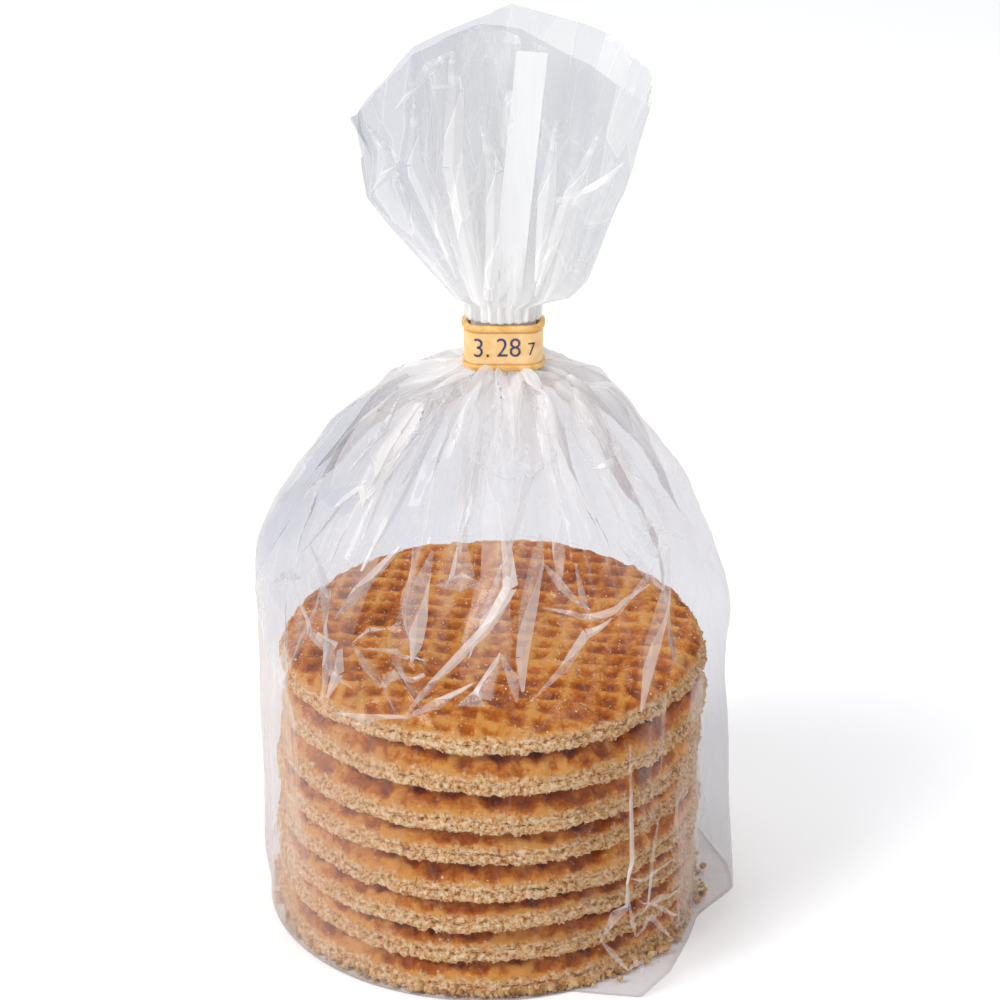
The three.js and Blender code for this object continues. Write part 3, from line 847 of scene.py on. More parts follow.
def facetField(rng, rows, columns, down, across):
    # flat facets with straight creases, as heights from -1 to 1: down and across are how many there are
    stepR, stepC = (rows - 1) / down, columns / across
    spotR = (np.arange(-1, down + 2)[:, None] + rng.uniform(-0.42, 0.42, (down + 3, across))) * stepR
    spotC = (np.arange(across)[None] + rng.uniform(-0.42, 0.42, (down + 3, across))) * stepC
    high = rng.uniform(-1, 1, (down + 3, across))
    field = np.zeros((rows, columns))
    for i in range(down + 2):
        for j in range(across):
            corners = [(i, j), (i, j + 1), (i + 1, j + 1), (i + 1, j)]
            first = int(rng.integers(2))
            for pick in ((0, 1, 2), (0, 2, 3)):
                nodes = [corners[(p + first) % 4] for p in pick]
                r = np.array([spotR[n[0], n[1] % across] for n in nodes])
                c = np.array([spotC[n[0], n[1] % across] + columns * (n[1] // across) for n in nodes])
                h = [high[n[0], n[1] % across] for n in nodes]
                r0, r1 = max(0, math.ceil(r.min())), min(rows - 1, math.floor(r.max()))
                c0, c1 = math.ceil(c.min()), math.floor(c.max())
                area = (r[1] - r[0]) * (c[2] - c[0]) - (r[2] - r[0]) * (c[1] - c[0])
                if r1 < r0 or c1 < c0 or abs(area) < 1e-9:
                    continue
                atR, atC = np.mgrid[r0:r1 + 1, c0:c1 + 1]
                b = ((atR - r[0]) * (c[2] - c[0]) - (r[2] - r[0]) * (atC - c[0])) / area
                g = ((r[1] - r[0]) * (atC - c[0]) - (atR - r[0]) * (c[1] - c[0])) / area
                inside = (b >= -1e-6) & (g >= -1e-6) & (b + g <= 1 + 1e-6)
                value = h[0] + b * (h[1] - h[0]) + g * (h[2] - h[0])
                field[atR[inside], atC[inside] % columns] = value[inside]
    return field


def outward(grid):  # the film's own normal at each point
    across = np.roll(grid, -1, 1) - np.roll(grid, 1, 1)
    down = np.gradient(grid, axis=0)
    normal = np.cross(across, down)
    return normal / (np.linalg.norm(normal, axis=-1, keepdims=True) + 1e-9)


def gridObject(name, grid, girth, alongs, closed=False):
    # The grid is rows by columns by 3, in mm, and joined round the back. Each row lies its alongs from the
    # flat film's start, and in a closed one the first row is drawn together to a point.
    rows, columns = grid.shape[:2]
    index = np.arange(rows * columns).reshape(rows, columns)
    a, b = index[:-1], np.roll(index, -1, 1)[:-1]
    c, d = np.roll(index, -1, 1)[1:], index[1:]
    faces = np.stack([a, b, c, d], -1).reshape(-1, 4).tolist()
    left = np.broadcast_to(np.arange(columns) / columns * girth, (rows - 1, columns))
    right = left + girth / columns
    low = np.broadcast_to(np.asarray(alongs)[:-1, None], (rows - 1, columns))
    high = np.broadcast_to(np.asarray(alongs)[1:, None], (rows - 1, columns))
    flat = np.stack([left, low, right, low, right, high, left, high], -1).reshape(-1)
    points = grid.reshape(-1, 3)
    if closed:
        points = np.vstack([points, grid[0].mean(0)])
        faces += [(len(points) - 1, (i + 1) % columns, i) for i in range(columns)]
        rim = np.arange(columns) / columns * girth
        hub = np.full(columns, alongs[0] - 1.0)
        edge = np.full(columns, alongs[0])
        wedges = np.stack([rim, hub, rim + girth / columns, edge, rim, edge], -1)
        flat = np.concatenate([flat, wedges.reshape(-1)])
    made = newObject(name, points * mm, faces)
    made.data.uv_layers.new(name="flat film").data.foreach_set("uv", flat * mm)
    return made


def pleated(turns, parts):  # a folded wave between -1 and 1, made of a few counts of pleats
    total = np.zeros_like(turns)
    for count, share, phase in parts:
        total += share * np.arcsin(np.sin(count * turns + phase)) * 2 / math.pi
    return total


def alongProfile(corners, share):  # the point a share of the way along a line through these corners
    path = np.array(corners, float)
    steps = np.concatenate([[0], np.cumsum(np.linalg.norm(np.diff(path, axis=0), axis=1))])
    return [np.interp(share * steps[-1], steps, path[:, k]) for k in (0, 1)]


def buildPouch(stackTop):
    rng = np.random.default_rng(film["seed"])
    rows, columns = film["rows"], film["columns"]
    length = film["side"] + film["shoulder"]
    neckBottom = bandLow.z / mm + 0.6
    radius = waffle["radius"] + film["tight"]
    footShift = film["footShift"]
    everywhere, halfWay, atNeck = film["pleatDepth"]
    dense = np.arange(4800) / 4800 * 2 * math.pi
    neckHalf = np.array(film["neckHalf"])
    toFront = np.clip(-np.sin(dense), 0, 1) ** 1.4  # 1 straight in front, 0 at the sides and behind
    grid = np.empty((rows, columns, 3))
    girths = np.empty(rows)
    for row in range(rows):
        along = row / (rows - 1) * length
        t = max(0.0, (along - film["side"]) / film["shoulder"])
        girths[row] = film["girth"] + (film["neckGirth"] - film["girth"]) * t
        up = min(1.0, along / film["side"])
        sideR, sideZ = alongProfile([*film["shoulderSide"], (neckHalf[0], neckBottom)], t)
        frontR, frontZ = alongProfile([*film["shoulderFront"], (neckHalf[0], neckBottom)], t)
        narrow = (sideR + (frontR - sideR) * toFront) / film["shoulderSide"][0][0]
        height = sideZ + (frontZ - sideZ) * toFront if t else np.full(dense.shape, max(along, 0.2))
        outline = foldedOutline(film["folds"], radius, dense, up)
        outline = outline + (radius - outline) * t
        shares = ((1 - t) ** 2, 1.2 * t * (1 - t) + 0.1, t * t)
        wave = pleated(dense, [(many, share, phase)
                               for (many, phase), share in zip(film["pleats"], shares)])
        flat = 1 + (neckHalf[1] / neckHalf[0] - 1) * t ** 4
        shift = footShift + (neckX / mm - footShift) * t ** 3
        depth = everywhere + halfWay * math.sin(math.pi * min(1, t * 1.1)) + atNeck * t

        def curve(amount):
            reach = outline * narrow + amount * depth * 2 * (wave - t ** 4)
            reach = np.maximum(reach, 0.12 * outline * narrow)
            return np.stack([shift + reach * np.cos(dense), flat * reach * np.sin(dense), height], 1)
        grid[row] = ringPoints(curve, girths[row], columns)
    print("film is wrapped round the stack", flush=True)

    for level, (steps, sag) in enumerate(film["settling"]):
        if level:
            grid = finer(grid)
            girths = np.interp(np.linspace(0, 1, grid.shape[0]), np.linspace(0, 1, len(girths)), girths)
        count, around = grid.shape[:2]
        across = np.repeat((girths / around)[:, None], around, 1)
        down = np.full((count - 1, around), length / (count - 1))
        held = np.zeros((count, around), bool)
        held[0] = True
        held[-1] = True
        alongRows = np.linspace(0, length, count)
        bends = [0, film["side"] - 6, film["side"] + 10, length]
        pull = np.interp(alongRows, bends, np.repeat(film["pull"], 2))
        grid[1:-1] += rng.normal(0, film["crinkle"] / (level + 1), grid[1:-1].shape)
        relaxFilm(grid, across, down, steps, sag, held, pull[:, None, None], stackTop)
        print(f"film level {level} has settled", flush=True)
    sharpen(grid, *film["sharpening"])
    count, around = grid.shape[:2]
    alongs = np.linspace(0, length, count)
    onShoulder = np.clip((alongs - film["side"] + 6) / 14, 0, 1)
    nearNeck = np.clip((alongs - film["side"] - 30) / 45, 0, 1)
    turns = np.arctan2(grid[..., 1], grid[..., 0])
    where, spread, high, reach = film["crumple"]
    turnAway = np.angle(np.exp(1j * (turns - math.radians(where)))) / math.radians(spread)
    crushed = np.exp(-turnAway ** 2 - ((alongs[:, None] - high) / reach) ** 2)
    broad, narrow, slim = [facetField(rng, count, around, *split) for split in film["facets"]]
    broad *= (0.3 + 1.5 * onShoulder * (1 - 0.8 * nearNeck))[:, None]
    narrow *= (0.08 + 0.4 * onShoulder)[:, None] + 1.3 * crushed
    slim *= (0.02 + 0.25 * nearNeck)[:, None]
    lift = (broad + narrow + slim) * np.clip(alongs / 4, 0, 1)[:, None]
    lift *= np.clip((length - alongs) / 5, 0, 1)[:, None]
    grid += outward(grid) * lift[..., None]
    keepOffStack(grid, stackTop)

    # Flat under the stack, and gathered inside the band.
    under = np.full((around, 1), film["underStack"])
    base = [np.concatenate([grid[0, :, :2] * share, under], 1) for share in (0.1, 0.5, 0.85, 0.97)]
    rises = np.array([1.5, 3.0, 4.5])  # mm above the neck
    collar = [grid[-1] + (0, 0, rise) for rise in rises]
    whole = np.concatenate([base, grid, collar])
    flatAlongs = np.concatenate([[-45, -25, -8, -2], alongs, length + rises])
    return gridObject("film_pouch", whole, film["girth"], flatAlongs, True)


fans = {
    # the open mouth above the band, and the gusset folded away inside it
    "film_fan": {
        "shift": 2.9, "halfWidth": 31.0, "halfDepth": 5.0, "columns": 360, "girth": 150,
        "neck": (6.9, 3.1), "bulge": 2.2,
        # the mouth's edge as (side, height), where side is -1 at the left corner and 1 at the right
        "front": [(-1.02, 181), (-0.6, 197), (-0.17, 202.5), (0.1, 201), (0.55, 194), (0.95, 184),
                  (1.02, 187)],
        "back": [(-1.02, 181), (-0.62, 195), (-0.06, 202), (0.03, 203.5), (0.74, 197), (0.82, 194),
                 (1.02, 190)],
        "folds": [(4, 0.6, 1.3), (7, 0.35, 0.2)], "lean": 0.07, "pleats": 26, "seed": 5,
        "broad": (4, 13, 2.0), "narrow": (9, 34, 0.4),
    },
    "film_gusset": {
        "shift": -1.5, "halfWidth": 12.0, "halfDepth": 2.2, "columns": 240, "girth": 90,
        "neck": (5.6, 2.4), "bulge": 0.5,
        "front": [(-1.02, 190), (-0.4, 198), (0.3, 198), (1.02, 196)],
        "back": [(-1.02, 191), (-0.2, 199.5), (0.5, 198), (1.02, 196)],
        "folds": [(5, 0.8, 0.3), (9, 0.5, 2.2)], "lean": 0.12, "pleats": 19, "seed": 8,
        "broad": (4, 10, 0.9), "narrow": (9, 30, 0.3),
    },
}
flares = {
    # how far the film has spread between the neck and the mouth, as (height, spread), at each side
    "left": [(0, 0), (0.02, 0.09), (0.56, 0.90), (0.78, 0.89), (0.9, 0.97), (1, 1)],
    "right": [(0, 0), (0.03, 0.28), (0.1, 0.40), (0.55, 0.74), (0.81, 0.86), (1, 1)],
}


fanShape = {
    "rows": 112,
    "length": 55,  # mm of film from its foot to the mouth
    "squareness": 2.2,  # above 2, the oval's corners fill out
    "footBelow": 4.5,  # mm from the band's upper edge down to its foot
    "freeFrom": 4.0,  # mm above the band, where it begins to spread
}


def buildFan(name):
    size = fans[name]
    rng = np.random.default_rng(size["seed"])
    rows, columns = fanShape["rows"], size["columns"]
    squareness = fanShape["squareness"]
    turns = np.arange(columns) / columns * 2 * math.pi
    cx, cy = np.cos(turns), np.sin(turns)
    square = (np.abs(cx) ** squareness + np.abs(cy) ** squareness) ** (-1 / squareness)
    folds = pleated(turns, size["folds"])
    lean = pleated(turns, [(count, share, phase + 1.6) for count, share, phase in size["folds"]])
    side = np.clip(square * cx + size["lean"] * lean * np.abs(cy), -1.02, 1.02)
    mouthX = size["shift"] + size["halfWidth"] * side
    mouthY = size["halfDepth"] * (square * cy + 0.75 * folds * np.abs(cy))
    edges = [np.interp(side, *np.array(size[edge]).T) for edge in ("front", "back")]
    backShare = np.clip(0.5 + 1.6 * cy, 0, 1)
    mouthZ = edges[0] + (edges[1] - edges[0]) * backShare
    tight = 0.94 + 0.06 * pleated(turns, [(size["pleats"], 1.0, 0.4)])
    bandTop = bandHigh.z / mm
    start, neckTop = bandTop - fanShape["footBelow"], bandTop + fanShape["freeFrom"]
    t = np.linspace(0, 1, rows)[:, None]
    height = start + (mouthZ - start) * t
    free = np.clip((height - neckTop) / (mouthZ - neckTop), 0, 1)
    tight = 1 + (tight[None] - 1) * np.clip(1 - 2.6 * free, 0, 1) ** 1.5
    bulge = np.clip((height - bandTop) / 0.6, 0, 1) * size["bulge"]
    neckPointX = neckX / mm + (size["neck"][0] + 0.6 * bulge) * (square * cx)[None] * tight
    neckPointY = 0.25 + (size["neck"][1] + bulge) * (square * cy)[None] * tight
    spreads = [np.interp(free, *np.array(flares[edge]).T) for edge in ("left", "right")]
    flare = spreads[0] + (spreads[1] - spreads[0]) * np.clip(side / 2 + 0.5, 0, 1)
    grid = np.stack([
        neckPointX + (mouthX - neckPointX) * flare,
        neckPointY + (mouthY - neckPointY) * free ** 0.85,
        height,
    ], -1)
    lift = 0
    for down, around, high in (size["broad"], size["narrow"]):
        lift = lift + facetField(rng, rows, columns, down, around) * high * free
    grid += outward(grid) * lift[..., None]
    return gridObject(name, grid, size["girth"], np.linspace(0, fanShape["length"], rows))


foldLines = {
    # Folds that stand up from the film, as (across, up, width) in mm: over the stack's top, on the
    # shoulders and at the crushed corner, then on the mouth above the band.
    "film_folds": [
        [(-35.5, 63.5, 0.2), (-34.3, 72.5, 2.0), (-34.4, 81, 0.2)],
        [(-33.2, 62.2, 0.3), (-26.4, 62.6, 1.6), (-18, 65.2, 0.8)],
        [(-18, 65.2, 0.5), (-14.2, 71, 1.4), (-7, 78.4, 1.8), (-1, 84.5, 2.0), (3.8, 91, 3.2),
         (3.3, 97, 2.2), (1.5, 108, 1)],
        [(-11.6, 92.2, 0.3), (-6.3, 91.6, 3.4), (-1, 91, 0.3)],
        [(-6.2, 92.5, 5.5), (-6.1, 98, 2.2), (-5.9, 106, 1.8), (-5, 117, 1.4)],
        [(10.4, 92.5, 0.3), (14.8, 89, 2.6), (20.2, 86.4, 0.3)],
        [(10.4, 84.2, 0.4), (17.2, 84.4, 1.4), (23, 85.2, 1.8), (33, 86.5, 0.4)],
        [(8, 68.7, 0.3), (14.8, 73, 1.8), (19.7, 81, 2.0), (24.8, 84.3, 0.4)],
        [(-18, 65, 0.4), (-11.3, 69.6, 2.2), (-3.8, 74, 0.4)],
        [(-7, 69.5, 0.3), (-2, 71.5, 4.2), (1.7, 80, 0.3)],
        [(1.7, 80, 0.3), (4.6, 74, 2.4), (5.2, 70, 0.4)],
        [(-29, 77, 0.3), (-25.3, 79.5, 1.2), (-21.8, 80, 0.3)],
        [(-29, 77, 0.3), (-26.2, 71.6, 2.0), (-23.3, 67.4, 0.4)],
        [(-23.3, 67.4, 0.3), (-21.6, 71.2, 2.0), (-13.8, 74.6, 0.8)],
        [(-27, 75.7, 0.3), (-20, 76.7, 1.2), (-13.8, 77.2, 0.3)],
        [(-47, 76, 0.3), (-43.5, 80.5, 1.8), (-40.6, 83, 0.3)],
        [(-38.4, 90.4, 0.3), (-34.6, 87.5, 2.6), (-34.7, 79, 0.4)],
        [(-32.6, 82, 0.4), (-27.3, 88, 3.0), (-19, 95.7, 0.8)],
        [(14, 88, 0.5), (13.8, 96, 2.6), (13.3, 105.5, 2.2), (10, 117.4, 1.0)],
        [(26, 96, 0.4), (30, 92, 2.2), (36, 84, 0.4)],
        [(-10, 119, 0.8), (-20, 104, 2.4), (-27, 92, 0.5)],
        [(20, 112, 0.6), (26, 103, 2.2), (31, 93, 0.4)],
        [(23, 13.2, 0.3), (26.2, 20, 2.2), (28.6, 22.6, 1.2), (28.4, 28.7, 0.4)],
        [(23, 13.4, 0.3), (25.4, 10.8, 1.6), (28.9, 7, 0.5)],
        [(28.6, 60, 0.3), (29, 45.6, 0.8), (29.4, 33.2, 1.0), (28.4, 28, 0.5)],
        [(29, 29.3, 0.4), (34, 27.5, 1.2), (39.2, 24.5, 0.3)],
        [(31, 24, 0.3), (36, 17, 1.0), (40.5, 10.5, 0.3)],
        [(-5.1, 114, 0.3), (1.7, 111.9, 1.2), (6.4, 110, 0.3)],
        [(-1.8, 117.6, 0.4), (-4.5, 104.2, 1.8), (-6.5, 99.2, 0.6)],
        [(13.5, 114.2, 0.4), (7.9, 108.9, 2.0), (5.2, 101.6, 1.4), (2.3, 95.5, 0.3)],
        [(19, 120.8, 0.5), (26.1, 110.5, 2.4), (20.4, 109, 0.4)],
        [(10.6, 125, 0.6), (11.4, 119.1, 1.6), (14.7, 111.7, 2.4), (20.3, 99.8, 0.4)],
        [(-7.2, 125.2, 0.6), (-18.4, 113.1, 1.8), (-31.8, 99.4, 1.4), (-40.1, 88.6, 0.3)],
        [(1.1, 126.6, 0.8), (1.7, 123.5, 2.2), (-1.8, 118.2, 0.4)],
        [(-11.3, 122.7, 0.5), (-21.7, 110.5, 2.2), (-26.8, 98, 0.4)],
        [(27.4, 108.9, 0.4), (32.5, 97.9, 1.8), (40.6, 88.3, 0.4)],
        [(28.8, 99.5, 0.4), (33, 94, 2.6), (37.5, 87.9, 0.4)],
        [(-19.1, 121.6, 0.4), (-22.6, 114.6, 1.8), (-29.7, 106.6, 0.4)],
        [(5.9, 126.8, 0.6), (7.9, 122.6, 2.4), (11, 117.5, 0.6)],
        [(-4.5, 126.6, 0.6), (-8.6, 123.6, 2.6), (-12.7, 117.3, 0.6)],
        [(-12.1, 98.3, 0.6), (-14.6, 91.5, 3.4), (-15.3, 85.4, 4.2), (-15.6, 80.6, 2.8),
         (-16.5, 76.4, 0.6)],
        [(10.3, 98.5, 0.6), (9.3, 92.3, 3.2), (7.6, 85.4, 4.0), (6.3, 78.2, 2.8), (6.4, 71.3, 0.6)],
        [(-41.6, 78.2, 0.6), (-36.8, 77.8, 2.4), (-32.7, 75.7, 3.4), (-32.1, 70.8, 2.6),
         (-34.3, 65.5, 0.6)],
        [(37.6, 87.8, 0.6), (35.8, 81.2, 3.4), (33.6, 75.4, 4.0), (30.9, 66.1, 0.6)],
        [(28.8, 24, 0.3), (29.7, 18.6, 1.0), (30.4, 14.9, 0.3)],
        [(30.3, 21, 0.3), (35, 19.6, 1.8), (40.8, 16.3, 0.3)],
        [(30.4, 14.9, 0.3), (33.4, 17.5, 1.4), (38, 9.5, 0.3)],
        [(28.9, 7, 0.3), (31.2, 9.5, 1.6), (33, 3.5, 0.3)],
        [(35.1, 39, 0.3), (33.7, 30, 0.9), (33, 20.2, 0.4)],
        [(2.7, 97.8, 0.4), (0.4, 90.4, 1.4), (-4.5, 78.9, 0.4)],
        [(-29.1, 67.3, 0.3), (-33.9, 71.3, 1.4), (-35, 77.4, 0.3)],
        [(17.2, 95.7, 0.3), (18.7, 88.9, 1.6), (20.3, 84.4, 0.3)],
        [(34.1, 90.1, 0.3), (31.9, 87.5, 1.6), (26, 84.4, 0.3)],
    ],
    "film_fan_folds": [
        [(-8.2, 197.4, 0.4), (-7.2, 189.2, 3.4), (-7.9, 173, 4.1), (-5.4, 157.7, 3.4), (-2.3, 142, 2)],
        [(-15.4, 188, 0.4), (-16.1, 173, 3.7), (-11.6, 161, 2.7), (-7, 147.6, 0.8)],
        [(-2.2, 181.7, 0.4), (0.6, 170.8, 3.4), (0.3, 154.4, 3.1), (-0.8, 143.2, 2)],
        [(22.3, 180.6, 0.4), (16.4, 167.5, 2.7), (11.3, 152.1, 2.4), (9, 144, 0.6)],
        [(13.1, 182.8, 0.4), (11.2, 165.4, 3.7), (9.2, 147.6, 0.8)],
        [(11.2, 165.4, 0.3), (17.4, 164.3, 4.1), (27, 173, 0.4)],
        [(-25.9, 181.7, 0.3), (-19.6, 173, 3.1), (-24.6, 166, 0.4)],
        [(-8.2, 197, 0.3), (-12.3, 194, 2.7), (-19.4, 185, 0.4)],
        [(-19.6, 173, 0.3), (-16, 160, 2.4), (-9, 148, 0.5)],
    ],
}


foldShape = {
    "step": 0.8,  # mm between the points along a fold
    "stand": (0.25, 0.55, 1.5),  # mm that a ridge stands off, and more for each mm of half width up to 1.5
    "fall": (1.2, 2.5),  # mm from ridge back to foot for each mm of half width, up to 2.5
    "under": 0.1,  # mm that the foot stands off
}


def buildFolds(name, base):  # each fold is a long low tent with straight edges, standing on the film
    stand, standPer, standMost = foldShape["stand"]
    fall, fallMost = foldShape["fall"]
    front = frontOf(base)
    points, faces, flat = [], [], []
    for line in foldLines[name]:
        along = 0.0
        for (xa, za, wa), (xb, zb, wb) in zip(line, line[1:]):
            length = math.hypot(xb - xa, zb - za)
            side = (-(zb - za) / length, (xb - xa) / length)
            ya, yb = front(xa, za), front(xb, zb)
            steps = max(2, round(length / foldShape["step"]))
            for i in range(steps + 1):
                t = i / steps
                x, z, width = xa + (xb - xa) * t, za + (zb - za) * t, (wa + (wb - wa) * t) / 2
                ridge = min(front(x, z), ya + (yb - ya) * t) - stand - standPer * min(width, standMost)
                for share, lift in ((-1, 0), (0, 1), (1, 0)):
                    px, pz = x + side[0] * width * share, z + side[1] * width * share
                    foot = min(front(px, pz), ridge + fall * min(width, fallMost)) - foldShape["under"]
                    points.append((px * mm, (ridge if lift else foot) * mm, pz * mm))
                    flat.append((width * share * mm, (along + length * t) * mm))
                if i:
                    n = len(points) - 6
                    faces += [(n, n + 1, n + 4, n + 3), (n + 1, n + 2, n + 5, n + 4)]
            along += length
    made = newObject(name, points, faces, False)
    layer = made.data.uv_layers.new(name="flat film")
    for loop in made.data.loops:
        layer.data[loop.index].uv = flat[loop.vertex_index]
    return made


lapStrip = {
    # the opaque tape of the lap seam that runs up inside the mouth, in mm; its white is partly a painted
    # highlight
    "foot": (2.7, 141.5),
    "head": (8.2, 196.5),
    "width": 6.3,
    "rows": 60,
    "columns": 12,
    "smoothing": 12,  # rounds; the tape is stiffer than the film, so it bridges the film's small folds
    "stand": 0.25,  # in front of the film
    "facets": (12, 3),
    "bumps": (0.12, 0.5),  # height of the facets, and how much more at the gathered foot
    "colours": [(0.3, "#fbfbfb"), (0.7, "#ffffff")],
    "solidFrom": (147, 160),  # heights between which it turns opaque
    "solid": (0.35, 0.97),
    "streak": 1400.0,  # streaks 0.7 mm apart
}


def buildLapStrip(fan):
    frontAt = frontOf(fan)
    rng = np.random.default_rng(21)
    rows, columns = lapStrip["rows"], lapStrip["columns"]
    foot, head = lapStrip["foot"], lapStrip["head"]
    t = np.linspace(0, 1, rows)[:, None]
    s = np.linspace(-0.5, 0.5, columns)[None]
    x = foot[0] + (head[0] - foot[0]) * t + lapStrip["width"] * s
    z = foot[1] + (head[1] - foot[1]) * t + 0 * s
    front = np.array([[frontAt(x[i, j], z[i, j]) for j in range(columns)] for i in range(rows)])
    for _ in range(lapStrip["smoothing"]):
        padded = np.pad(front, 1, mode="edge")
        average = (padded[:-2, 1:-1] + padded[2:, 1:-1] + padded[1:-1, :-2] + padded[1:-1, 2:]) / 4
        front = np.minimum(front, average)
    even, atFoot = lapStrip["bumps"]
    bumps = facetField(rng, rows, columns, *lapStrip["facets"]) * (even + atFoot * np.clip(1 - 4 * t, 0, 1))
    y = front - lapStrip["stand"] + bumps
    points = np.stack([x, y, z], -1).reshape(-1, 3)
    index = np.arange(rows * columns).reshape(rows, columns)
    faces = np.stack([index[:-1, :-1], index[:-1, 1:], index[1:, 1:], index[1:, :-1]], -1).reshape(-1, 4)
    return newObject("film_tape", points * mm, faces.tolist())


clearLook = {
    "facets": [(17, 48, 0.42), (6.5, 20, 0.16)],  # mm across and along the film, and tilt
    "creaseWidth": 0.03,  # of a facet
    "streak": (7, 90),  # mm across and along the film
    "ripple": 130.0,  # soft waves 7.7 mm apart
    # painted light: the base under the stack is nearly clear, which lifts the shade seen through it
    "foldedUnder": "#fcfcfc",
    "atLeft": "#dedfe3",
    "gloss": "#ffffff",
    "haze": "#fffefd",
    # how white each of these makes it, from 0 to 1
    "double": 0.22,  # where a facet lies double
    "streaks": (0.03, 0.42),  # least and most, where it is gathered
    "neck": 0.72,
    "edgeOn": 0.35,
    "byStackHazeAndLight": 0.22,  # at the left of the stack: partly haze, partly painted light from the key lamp
    "singleShare": 0.80,  # of the facets; the others may lie double
    "backLit": 0.4,  # the share of the haze's light that comes through
    "shine": (0.18, 0.013),  # gloss seen edge on, and face on
}
filmFinish = {
    # the film's name, its tint, haze everywhere, haze on the creases, where along the film (in mm) it is
    # folded double, and from where to where its gathering whitens it
    "film_pouch": ("clear polypropylene film", "#e8e8ea", 0.003, 0.05, (66, 104), (76, 146)),
    "film_fan": ("clear polypropylene film, fanned out", "#e7e8ea", 0.015, 0.16, (-5, 0), (62, 4)),
    "film_gusset": ("clear polypropylene film, many folds deep", "#ffffff", 0.14, 0.25, (-5, 0), (80, 4)),
    "film_folds": ("clear polypropylene film, sharp folds", "#f6f6f7", 0.20, 0.10, (-50, -40), (900, 901)),
    "film_fan_folds": ("clear polypropylene film, folds in the mouth", "#fdfdfd", 0.26, 0.20, (-50, -40),
                       (900, 901)),
}


